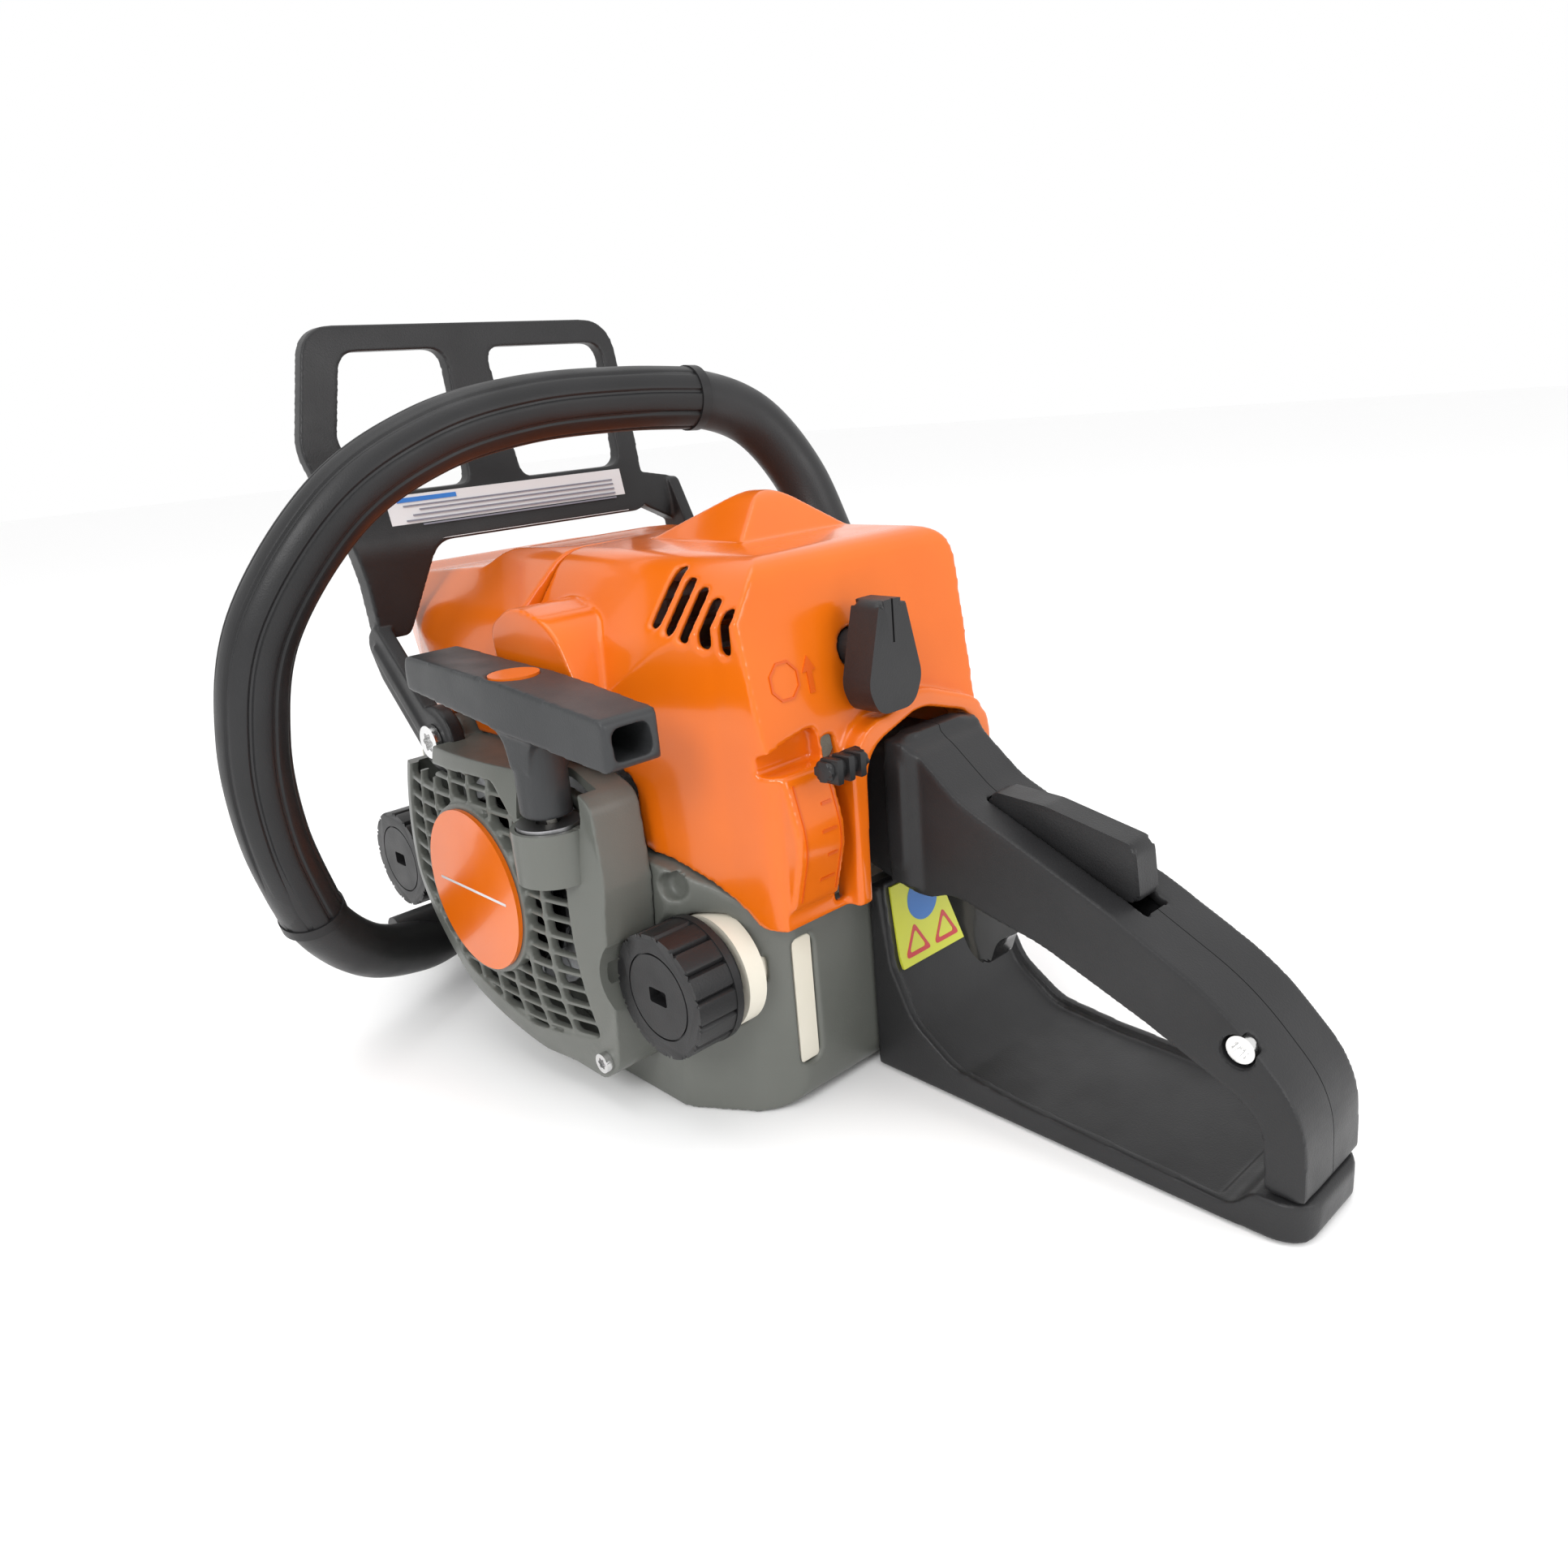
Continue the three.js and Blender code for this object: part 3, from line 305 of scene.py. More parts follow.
def weld(base, *tools):
    return combine(base, tools, "UNION")


def meet(base, *tools):
    return combine(base, tools, "INTERSECT")


# runs a fine skin over a piece and smooths it, as a mould's rounded edges do
def soften(piece, voxel, passes, keep):
    skin = piece.modifiers.new("skin", "REMESH")
    skin.mode = "VOXEL"
    skin.voxel_size = voxel / 1000
    smooth = piece.modifiers.new("smooth", "SMOOTH")
    smooth.factor = 0.5
    smooth.iterations = passes
    thin = piece.modifiers.new("thin", "DECIMATE")
    thin.ratio = keep
    return bake(piece)


def shade(piece, angle=None):
    for face in piece.data.polygons:
        face.use_smooth = True
    if angle:
        piece.data.set_sharp_from_angle(angle=math.radians(angle))
    return piece


def dress(piece, name, look, body="root", nodes=(), angle=None):
    piece.name = name
    piece.data.materials.clear()
    piece.data.materials.append(finish[look])
    shade(piece, angle)
    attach(piece, body)
    if nodes:
        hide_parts(*nodes)
    return piece


# a tube whose section is swept along points by a smooth curve
def sweep(points, radius, sides, perStep, flute=0.0, flutes=0):
    route = []
    for i in range(len(points) - 1):
        p0, p1 = Vector(points[max(i - 1, 0)]), Vector(points[i])
        p2, p3 = Vector(points[i + 1]), Vector(points[min(i + 2, len(points) - 1)])
        for k in range(perStep + (i == len(points) - 2)):
            t = k / perStep
            route.append(0.5 * (2 * p1 + (p2 - p0) * t + (2 * p0 - 5 * p1 + 4 * p2 - p3) * t ** 2
                                + (3 * p1 - p0 - 3 * p2 + p3) * t ** 3))
    bm = bmesh.new()
    rings = []
    side = Vector((0, 0, 1))
    for i, place in enumerate(route):
        tangent = (route[min(i + 1, len(route) - 1)] - route[max(i - 1, 0)]).normalized()
        side = (side - tangent * side.dot(tangent)).normalized()
        other = tangent.cross(side)
        ring = []
        for k in range(sides):
            angle = k * math.tau / sides
            reach = radius - flute * max(0, math.cos(flutes * angle)) ** 6 if flutes else radius
            around = side * math.cos(angle) * reach + other * math.sin(angle) * reach
            ring.append(bm.verts.new(at(*(place + around))))
        rings.append(ring)
    for a, b in zip(rings, rings[1:]):
        for k in range(sides):
            bm.faces.new((a[k - 1], a[k], b[k], b[k - 1]))
    bm.faces.new(rings[0])
    bm.faces.new(rings[-1])
    return meshFrom(bm)


# ---- orange covers

coverStyle = {"wall": 2.6, "louvres": 5, "louvrePitch": 7.6, "skin": 0.75}


def coverBlock(inset):
    side = rounded([(-88 + inset, 60, 2), (-88 + inset, 118, 30), (-77 + inset, 180 - inset, 10),
                    (-50, 180.5 - inset, 20), (27, 181 - inset, 0), (27, 60, 0)])
    plan = rounded([(-92 + inset, -35 + inset, 12), (-92 + inset, 65 - inset, 15), (-70, 68 - inset, 14),
                    (-30, 79 - inset, 30), (27, 85 - inset, 0), (27, -34 + inset, 0)], 8)
    rear = rounded([(-28 + inset, 60, 0), (-34 + inset, 180 - inset, 14), (15, 181 - inset, 40),
                    (54, 180 - inset, 18), (73 - inset, 156, 20), (84 - inset, 128, 14), (84 - inset, 60, 0)],
                   8)
    return meet(prism("y", side, -60, 110), prism("z", plan, 50, 200), prism("x", rear, -100, 40))


def humpBlock(inset):
    side = rounded([(-50, 150, 0), (-48, 174, 6), (-25, 198 - inset, 12), (14, 177, 14), (18, 150, 0)], 8)
    rear = rounded([(-30 + inset, 150, 0), (-24 + inset, 178, 10), (2, 198 - inset, 16),
                    (36 - inset, 175, 16), (40, 150, 0)], 8)
    return meet(prism("y", side, -60, 60), prism("x", rear, -60, 40))


def lowerEdge():
    edge = rounded([(-100, 50), (-100, 69.4), (-79, 69.4, 4), (-72, 75, 6), (-62, 81.6, 6), (-48, 87.6, 6),
                    (-37, 90, 4), (-36, 113, 5), (-28, 119.6, 6), (50, 119.6), (50, 50)])
    return prism("y", edge, -80, 120)


def louvre(i):
    x = -44.5 - i * coverStyle["louvrePitch"]
    low, high = 160.5 - 1.5 * i, 176.5 - 2.4 * i
    slot = rounded([(x - 2.3, low, 2.2), (x + 2.3, low, 2.2), (x + 2.3, high, 1), (x - 2.3, high + 0.8, 1)])
    return prism("y", slot, 48, 95)


def drumShape(grow):
    return rounded([(-80, 75, 1), (-90 - grow, 76, 4), (-96 - grow, 98, 26), (-90 - grow, 119.5, 4),
                    (-80, 119.5, 1)], 8)


def makeFilterCover():
    wall = coverStyle["wall"]
    cover = cut(weld(coverBlock(0), humpBlock(0)), weld(coverBlock(wall), humpBlock(wall)))
    drum = prism("y", drumShape(0), 43.5, 63, 1)
    hoodRear = rounded([(-31, 69), (-31, 122, 18), (4, 134, 22), (37, 124, 16), (37, 69)], 8)
    hood = prism("x", hoodRear, -93.5, -82, 2.2)
    bulgeSide = rounded([(-34, 118), (-30, 140, 20), (-18, 163, 22), (6, 168, 20), (20, 160, 8), (21, 118)],
                        8)
    bulge = prism("y", bulgeSide, 60, 88, 5)
    pocket = block(-88, -79.4, 42.6, 68, 116, 132)
    cover = weld(cover, drum, hood, bulge, meet(pocket, coverBlock(0.2)))
    arch = rounded([(-24.5, 50), (-24.5, 119, 14), (4, 127.5, 18), (30, 119, 14), (31.5, 74), (31.5, 50)], 8)
    slit = rounded([(37.2, 72, 2), (42.8, 72, 2), (42.8, 126, 2), (37.2, 126, 2)])
    leverSlot = rounded([(43.6, 119, 2), (67, 119, 3), (67, 125, 4), (43.6, 130.5, 4)])
    openings = [block(22, 60, -80, 120, 40, 220), lowerEdge(), prism("x", arch, -110, -70),
                prism("x", slit, -110, -84), prism("x", leverSlot, -110, -82),
                rod("x", 6.3, -110, -70, 22, 149), rod("x", 19, -100, -87.2, 22, 147, edge=1),
                rod("y", 21.4, 60, 90, -60, 52)]
    cut(cover, *openings, *[louvre(i) for i in range(coverStyle["louvres"])])
    soften(cover, coverStyle["skin"], 8, 0.32)
    return dress(cover, "filterCover", "orange", nodes=["filter_cover"])


def shroudBlock(inset):
    drop = 6 * inset
    side = rounded([(17, 100 - drop), (17, 180.5 - inset), (60, 179.5 - inset, 8), (66, 174 - inset, 6),
                    (106, 171 - inset, 8), (124 - inset, 174.5 - inset, 6), (120 - inset, 148 - drop, 8),
                    (84, 130 - drop, 14), (70, 100 - drop)], 6)
    plan = rounded([(17, -36 + inset), (17, 84.6 - inset), (66, 86 - inset, 24), (92, 79 - inset, 16),
                    (126 - inset, 66 - inset, 20), (130 - inset, 30, 30), (116 - inset, -30 + inset, 18)], 8)
    front = rounded([(-40 + inset, 80), (-34 + inset, 178 - inset, 16), (20, 181 - inset, 20),
                     (54, 180 - inset, 20), (77 - inset, 160, 18), (88 - inset, 132, 14), (88 - inset, 80)],
                    8)
    return meet(prism("y", side, -60, 110), prism("z", plan, 80, 200), prism("x", front, 10, 140))


def makeShroud():
    shroud = cut(shroudBlock(0), shroudBlock(coverStyle["wall"]))
    weld(shroud, cut(meet(shroudBlock(0.8), block(22.4, 24.2, -80, 120, 119, 200)), coverBlock(3.4)))
    cut(shroud, block(0, 22.35, -80, 120, 40, 220), block(0, 150, -80, 120, 40, 119.4),
        block(112, 140, -2, 44, 118, 158), rod("y", 8.6, 78, 100, *guardPivot),
        prism("z", rounded([(34, -18, 4), (58, -18, 4), (58, 48, 4), (34, 48, 4)]), 179.2, 190))
    soften(shroud, coverStyle["skin"], 8, 0.32)
    return dress(shroud, "engineShroud", "orange", nodes=["engine_shroud"])


# raised lines on the cover: an octagon, an arrow, and a scale between two lines
def makeCoverMarks():
    middleY, middleZ, radius = 52.5, 145, 6.2
    angles = [(k + 0.5) * math.tau / 8 for k in range(8)]
    octagon = [(middleY + radius * math.cos(a), middleZ + radius * math.sin(a)) for a in angles]
    inner = [(middleY + 0.88 * (y - middleY), middleZ + 0.88 * (z - middleZ)) for y, z in octagon]
    marks = cut(prism("x", octagon, -95, -70), prism("x", inner, -96, -69))
    arrow = [(41.3, 139.5), (43.3, 139.5), (43.3, 146), (45, 146), (42.3, 150.5), (39.6, 146), (41.3, 146)]
    meet(weld(marks, prism("x", arrow, -95, -70)), coverBlock(-0.35))
    ticks = [block(-99, -88, 47, 53 - 2 * (k % 2), z, z + 0.9) for k, z in enumerate((84, 92, 100, 108))]
    ticks += [block(-99, -88, 45.2, 45.7, 79, 116), block(-99, -88, 59.6, 60.1, 79, 116)]
    skin = prism("y", drumShape(0.3), 43.6, 62.9)
    weld(marks, meet(weld(*ticks), skin))
    return dress(marks, "coverMarks", "embossed", angle=30)


print("covers ready to make")


# ---- repeats by Geometry Nodes

# copies of Seed in a row, each moved on by Step
def repeatTree():
    tree = bpy.data.node_groups.new("repeatPiece", "GeometryNodeTree")
    tree.interface.new_socket("Geometry", in_out="OUTPUT", socket_type="NodeSocketGeometry")
    inputs = [("Seed", "NodeSocketObject"), ("Count", "NodeSocketInt"), ("Step", "NodeSocketVector"),
              ("Finish", "NodeSocketMaterial")]
    for label, kind in inputs:
        tree.interface.new_socket(label, in_out="INPUT", socket_type=kind)
    given = tree.nodes.new("NodeGroupInput")
    line = tree.nodes.new("GeometryNodeMeshLine")
    seed = tree.nodes.new("GeometryNodeObjectInfo")
    copies = tree.nodes.new("GeometryNodeInstanceOnPoints")
    real = tree.nodes.new("GeometryNodeRealizeInstances")
    painted = tree.nodes.new("GeometryNodeSetMaterial")
    result = tree.nodes.new("NodeGroupOutput")
    wires = [(given, "Count", line, "Count"), (given, "Step", line, "Offset"),
             (given, "Seed", seed, "Object"), (line, "Mesh", copies, "Points"),
             (seed, "Geometry", copies, "Instance"), (copies, "Instances", real, "Geometry"),
             (real, "Geometry", painted, "Geometry"), (given, "Finish", painted, "Material"),
             (painted, "Geometry", result, "Geometry")]
    for source, outlet, target, inlet in wires:
        tree.links.new(source.outputs[outlet], target.inputs[inlet])
    return tree


repeater = repeatTree()


def repeat(seed, count, step, look):
    holder = link("repeat", bpy.data.meshes.new("repeat"))
    modifier = holder.modifiers.new("repeat", "NODES")
    modifier.node_group = repeater
    values = {"Seed": seed, "Count": count, "Step": step, "Finish": finish[look]}
    for item in repeater.interface.items_tree:
        if item.in_out == "INPUT":
            modifier[item.identifier] = values[item.name]
    bake(holder)
    bpy.data.objects.remove(seed)
    return holder


# ---- recoil starter

starterStyle = {"face": 107, "rows": 16, "rowPitch": 6.3, "columns": 9, "columnPitch": 12.6, "bar": 1.5,
                "badge": 28.8, "badgeZ": 72, "flat": 34, "dome": 8.5, "skin": 0.6}


def starterShape(inset=0):
    return rounded([(-44 + inset, 84, 8), (-38 + inset, 19 + inset, 12), (-28, 12 + inset, 10),
                    (4, 13 + inset, 16), (44 - inset, 27 + inset, 22), (77 - inset, 62, 14),
                    (77 - inset, 110 - inset, 10), (62, 119 - inset, 14), (-24, 119 - inset, 12),
                    (-42 + inset, 112 - inset, 8)], 8)


def grilleWindow(grow=0):
    return rounded([(-30 - grow, 95 + grow, 4), (-30 - grow, 27 - grow, 6), (4, 24 - grow, 14),
                    (40 + grow, 36 - grow, 20), (71 + grow, 66, 8), (71 + grow, 112 + grow, 7),
                    (4, 114 + grow, 6), (-6, 104 + grow, 5), (-14, 95 + grow, 4)], 8)


def makeGrille():
    face, bar = starterStyle["face"], starterStyle["bar"]
    row, column = starterStyle["rowPitch"] / 1000, starterStyle["columnPitch"] / 1000
    rows = repeat(block(-40, 76, face - 4.6, face - 1.2, 20, 20 + bar, 0.3), starterStyle["rows"],
                  (0, 0, row), "grey")
    columns = repeat(block(-30.4, -30.4 + bar, face - 4.8, face - 0.9, 8, 118, 0.3), starterStyle["columns"],
                     (column, 0, 0), "grey")
    grille = meet(weld(rows, columns), prism("y", grilleWindow(1), face - 8, face + 2))
    plate = rod("y", starterStyle["badge"] + 1.8, face - 4.4, face + 0.5, crankX, starterStyle["badgeZ"], 96,
                1)
    return weld(grille, plate)


# the face falls away from the badge towards its edges
def dome(piece):
    hub = at(crankX, 84, starterStyle["badgeZ"])
    front = at(crankX, starterStyle["face"], starterStyle["badgeZ"])
    drop, flat = starterStyle["dome"] / 1000, starterStyle["flat"] / 1000
    for vertex in piece.data.vertices:
        away = math.hypot(vertex.co.x - hub.x, vertex.co.z - hub.z) - flat
        height = (vertex.co.y - hub.y) / (front.y - hub.y)
        if away > 0 and height > 0:
            vertex.co.y -= drop * min(1, (away / flat) ** 1.6) * height


def makeStarterCover():
    face = starterStyle["face"]
    shell = meet(prism("y", starterShape(), 70, face, 9, 6), block(-60, 90, 80.3, 130, 0, 140))
    cut(shell, meet(prism("y", starterShape(3), 60, face - 3.4, 8, 5), block(-70, 100, 60, 130, 0, 140)),
        prism("y", grilleWindow(), 70, 120))
    weld(shell, makeGrille(), rod("y", 7.6, 81, 91.6, *guardPivot))
    soften(shell, starterStyle["skin"], 4, 0.5)
    dome(shell)
    weld(shell, prism("z", circle(ropeX, ropeY - 1, 13, 72), 86, 103.4, 3, 5))
    cut(shell, prism("z", circle(ropeX, ropeY, 10.6, 64), 99.5, 140),
        prism("x", rounded([(91.5, 140), (91.5, 112, 6), (97, 103.6, 3), (140, 103.6), (140, 140)]),
              -36.2, -9.8),
        rod("y", 22.4, 70, 120, -60, 52), block(44, 80, 91.6, 120, 107.5, 125),
        rod("y", 2.9, 70, 120, *guardPivot))
    return dress(shell, "starterCover", "grey", nodes=["starter_cover"], angle=50)


def makeBadge():
    face = starterStyle["face"]
    badge = rod("y", starterStyle["badge"], face + 0.7, face + 2.3, crankX, starterStyle["badgeZ"], 96, 0.6)
    dress(badge, "starterBadge", "orange", nodes=["starter_badge"], angle=30)
    line = block(crankX - 22, crankX + 22, face + 2.25, face + 2.45, 71.6, 72.5)
    dress(line, "badgeLine", "paper")


def makeStarterGrip():
    side = rounded([(-75, 130.5, 3), (-74, 145.5, 3), (-22, 150, 60), (41, 152.5, 4), (46.5, 141, 6),
                    (-16, 134.5, 40)], 8)
    plan = rounded([(-75, 92.5, 3), (-40, 91, 20), (46, 90.5, 5), (46, 109.5, 5), (-40, 111, 20),
                    (-75, 111.5, 3)], 6)
    grip = meet(prism("y", side, 85, 118, 0), prism("z", plan, 120, 160))
    stemPlan = rounded([(-31, 94.5, 7), (-15, 94.5, 7), (-15, 109.5, 7), (-31, 109.5, 7)], 6)
    stem = prism("z", stemPlan, 107, 140, 1)
    throat = rounded([(-38, 136.5), (-30, 131, 8), (-28.5, 122), (-17.5, 122), (-16, 131, 8), (-8, 136.5)])
    flare = prism("y", throat, 94.5, 109.5, 1)
    weld(grip, stem, flare)
    pocket = rounded([(95.5, 133.3, 2.5), (108.5, 133.3, 2.5), (108.5, 142.8, 3.5), (95.5, 142.8, 3.5)])
    cut(grip, prism("x", pocket, -90, -46),
        rod("z", 3, 100, 128, ropeX, ropeY), rod("z", 8.3, 149.4, 160, -14, 101))
    soften(grip, 0.6, 5, 0.35)
    dress(grip, "starterGrip", "grip", "starter_grip", ["starter_grip"])
    disk = rod("z", 8, 148.2, 150.6, -14, 101, 64, 0.4)
    dress(disk, "gripDisk", "orange", "starter_grip", angle=30)


def makeBushing():
    ring = cut(rod("z", 10.2, 102.2, 104.6, ropeX, ropeY, 72, 0.9), rod("z", 4, 98, 110, ropeX, ropeY))
    return dress(ring, "ropeBushing", "steel", nodes=["rope_bushing"], angle=30)


def makeRope():
    route = [(-6, 95.2, 84), (-15, 97, 95), (-22, 100, 102), (ropeX, ropeY, 110), (ropeX, ropeY, 126.5)]
    return dress(sweep(route, 1.6, 16, 10), "starterRope", "rope", nodes=["starter_rope"])


# ---- front handle and hand guard

handleStyle = {"tube": 10.3, "sleeve": 11.0, "groove": 1.0, "grooves": 9, "sleeveStart": 7, "sleeveEnd": 15}
handleRoute = [(-32, -50, 30), (-32, -51, 62), (-30, -52, 98), (-20, -54, 132), (1, -56, 166), (13, -52, 195),
               (20, -36, 217), (23, -10, 226.5), (25, 20, 228), (26, 60, 227), (27, 96, 220), (32, 127, 203),
               (42, 152, 170), (50, 160, 135), (58, 158, 100), (68, 148, 65), (80, 128, 40), (94, 102, 27),
               (104, 82, 24), (108, 70, 24)]


def makeFrontHandle():
    bar = sweep(handleRoute, handleStyle["tube"], 40, 10)
    shoe = prism("y", rounded([(90, 12, 6), (122, 12, 6), (122, 36, 8), (90, 38, 8)], 5), 63, 80, 3)
    lug = rod("y", 6, 84, 108, 99, 34, edge=1)
    weld(bar, shoe, lug)
    dress(bar, "frontHandle", "black", nodes=["front_handle"], angle=40)
    covered = handleRoute[handleStyle["sleeveStart"]:handleStyle["sleeveEnd"] + 1]
    sleeve = sweep(covered, handleStyle["sleeve"], 144, 12, handleStyle["groove"], handleStyle["grooves"])
    dress(sleeve, "frontHandleSleeve", "sleeve", nodes=["front_handle_sleeve"], angle=35)
    for i, (end, inner) in enumerate(((covered[0], covered[1]), (covered[-1], covered[-2]))):
        here = Vector(end)
        ahead = (Vector(inner) - here).normalized()
        route = [here - ahead * 1.6, here, here + ahead * 1.6, here + ahead * 2.4]
        collar = sweep(route, handleStyle["sleeve"] + 0.5, 48, 3)
        dress(collar, f"sleeveCollar{i + 1}", "sleeve", angle=50)


guardStyle = {"reach": (-60, 130), "boss": 12.2, "skin": 0.6}


# the guard's section seen from the side, as wide as the guard reaches
def guardLean():
    section = rounded([(96.8, 262, 2), (103.2, 262, 2), (94.6, 215, 30), (88.6, 184, 20),
                       (95.8, 148, 2), (87.6, 147, 2), (80.6, 184, 20), (88.6, 215, 30)], 6)
    return prism("y", section, *guardStyle["reach"])


def makeHandGuard():
    plate = rounded([(-28, 184, 8), (-31, 215, 20), (-30, 261, 14), (99, 261, 14), (111, 220, 20),
                     (99, 172, 14), (96, 151, 4), (84, 151, 4), (70, 184, 10)], 8)
    guard = meet(prism("x", plate, 60, 120), guardLean())
    leftWindow = rounded([(50, 203, 5), (47, 252, 7), (88, 252, 9), (97, 222, 8), (88, 203, 7)], 6)
    rightWindow = rounded([(-20, 203, 7), (-24, 252, 7), (30, 252, 7), (27, 203, 5)], 6)
    cut(guard, prism("x", leftWindow, 60, 120), prism("x", rightWindow, 60, 120))
    left = rounded([(88, 158, 4), (96, 150, 4), (89, 137, 8), (62, 109.5, 8), (54, 106, 8), (45, 111, 8),
                    (45, 125, 8), (58, 129, 6), (82, 152, 4)], 6)
    leftArm = prism("y", left, 92, 98, 1)
    boss = rod("y", guardStyle["boss"], 92, 97.4, *guardPivot, edge=1.2)
    right = rounded([(82, 196, 3), (90, 196, 3), (88, 176, 12), (62, 110, 8), (47, 110, 6), (46, 124, 6)], 6)
    rightArm = prism("y", right, armY, -41, 0.8)
    web = meet(prism("x", rounded([(armY, 176), (armY, 196, 6), (-26, 200), (-26, 186, 6)]), 60, 120),
               guardLean())
    edgeRibs = prism("y", rounded([(88, 150), (92, 147), (58, 113), (54, 116)]), 97, 99.2, 0.6)
    weld(guard, leftArm, boss, rightArm, web, edgeRibs)
    cut(guard, rod("y", 3.6, 80, 110, *guardPivot))
    soften(guard, guardStyle["skin"], 6, 0.35)
    return dress(guard, "handGuard", "black", "hand_guard", ["hand_guard"])


def makeGuardLabel():
    dress(labelSlab(-18, 86, 184.8, 201.6, 0), "guardLabel", "paper", "hand_guard",
          angle=30)
    heights = (186.8, 188.6, 190.4, 192.2, 194, 195.8, 197.4)
    rows = [labelSlab(-13, 80 - 3 * (k % 3), z, z + 0.55, 0.1) for k, z in enumerate(heights)]
    dress(weld(*rows), "guardLabelLines", "ink", "hand_guard", angle=30)
    heading = weld(labelSlab(58, 82, 199, 200.6, 0.1), labelSlab(-15, -10, 186.6, 189, 0.2))
    dress(heading, "guardLabelHeading", "inkBlue", "hand_guard", angle=30)


# a thin patch on the rear of the guard's lower band, following its lean
def labelSlab(y0, y1, z0, z1, lift):
    def face(z):
        return 80.6 + (z - 184) / 31 * 8 + (0.9 if z < 190 else 0)
    points = [(face(z0) - 0.55 - lift, z0), (face(z1) - 0.55 - lift, z1), (face(z1) + 0.6, z1),
              (face(z0) + 0.6, z0)]
    return prism("y", points, y0, y1)


# ---- rear handle

rearStyle = {"halfWidth": 17, "round": 8.5, "split": 0.15, "skin": 0.75}


def gripOutline():
    top = [(-66, 118), (-99, 118, 14), (-117, 103, 30), (-169, 80, 200), (-203, 62, 80), (-226, 38, 60),
           (-227, 12.5, 1)]
    under = [(-215.5, 12.5, 1), (-215, 34, 60), (-181, 50, 120), (-146, 64, 60), (-128, 68, 16),
             (-113, 72, 16), (-103, 68, 16), (-66, 74)]
    return rounded(top + under, 8)


def makeRearHandle():
    wide = rearStyle["halfWidth"]
    grip = prism("y", gripOutline(), -wide, wide, rearStyle["round"], 6)
    flare = prism("x", rounded([(-20, 71, 9), (-20, 121, 9), (20, 121, 9), (20, 71, 9)], 6), -97, -90, 2.2)
    rampPlan = rounded([(-106, -15), (-97, -19.5, 8), (-90, -19.5), (-90, 19.5), (-97, 19.5, 8), (-106, 15)])
    rampSide = rounded([(-112, 74), (-108, 108, 8), (-97, 119.5, 6), (-88, 120), (-88, 72), (-100, 71)])
    weld(grip, flare, meet(prism("z", rampPlan, 60, 130), prism("y", rampSide, -30, 30, 2)))
    hollow = rounded([(-70, 78), (-70, 114), (-98, 114, 5), (-115, 99.5, 5), (-168, 76.5, 8), (-190, 63),
                      (-190, 56), (-183, 54, 6), (-147, 67.5, 6), (-128, 71.5, 6), (-113, 76, 8),
                      (-103, 72, 8)])
    lockoutSlot = [(-114, 90), (-122, 108), (-174, 101), (-174, 72), (-150, 84)]
    cut(grip, prism("y", hollow, -8.5, 8.5), prism("y", lockoutSlot, -6, 6),
        block(-139, -98, -7, 7, 50, 80), rod("y", 4.9, 12.4, 30, -207, 51), rod("y", 2.3, -14, 30, -207, 51),
        block(-240, -208, -16.99, 16.99, 0, 12.8))
    soften(grip, rearStyle["skin"], 5, 0.4)
    split = rearStyle["split"]
    for side, y0, y1 in (("Left", split, 40), ("Right", -40, -split)):
        half = meet(link("half", grip.data.copy()), block(-260, -66.5, y0, y1, -5, 150))
        dress(half, f"rearHandle{side}", "black", nodes=[f"rear_handle_{side.lower()}"],
              angle=35)
    bpy.data.objects.remove(grip)


def makeRearBase():
    outer = rounded([(-79.3, 0.2), (-216, 0.2, 6), (-228.6, 0.2, 3), (-229, 12.2, 3), (-213.5, 12.2, 4),
                     (-208, 5.8, 8), (-137, 8.5, 16), (-113, 11, 18), (-97, 22, 18), (-88, 40, 14),
                     (-84.5, 68), (-79.3, 68)], 8)
    plan = rounded([(-79, -44), (-79, 20), (-205, 20, 4), (-229, 19.5, 12), (-229, -14, 10), (-216, -20, 12),
                    (-208, -44, 16)], 8)
    plate = meet(prism("y", outer, -44, 20, 1.6), prism("z", plan, -2, 80))
    inner = rounded([(-70, 8), (-76, 8), (-204, 3.4, 3), (-206, 30), (-110, 30), (-100, 80), (-70, 80)], 6)
    floor = rounded([(-79.3, 2), (-205, 2), (-205, 3.8), (-137, 6, 16), (-112, 8.2, 18), (-95.5, 20, 18),
                     (-86.5, 40, 14), (-83.4, 68), (-79.3, 68)], 8)
    cut(plate, prism("y", inner, -40.5, 16.5))
    weld(plate, prism("y", floor, -42, 18))
    soften(plate, 0.8, 4, 0.4)
    return dress(plate, "rearHandleBase", "black", nodes=["rear_handle_base"])


# how far back the plate's face stands at a height
def onBase(height):
    profile = [(-137, 6.2), (-112, 8.6), (-104, 14), (-95.8, 20.6), (-90, 32), (-86.6, 41), (-84.6, 55),
               (-83.4, 68)]
    for a, b in zip(profile, profile[1:]):
        if a[1] <= height <= b[1]:
            t = (height - a[1]) / (b[1] - a[1])
            return a[0] + (b[0] - a[0]) * t
    return profile[-1][0]


# a thin label bent down the plate's curve: z runs from bottom to top
def basePatch(y0, y1, z0, z1, lift):
    count = 14
    steps = [z0 + (z1 - z0) * k / count for k in range(count + 1)]
    front = [(onBase(z) - 0.7 - lift, z) for z in steps]
    back = [(onBase(z) + 0.8, z) for z in reversed(steps)]
    return prism("y", front + back, y0, y1)


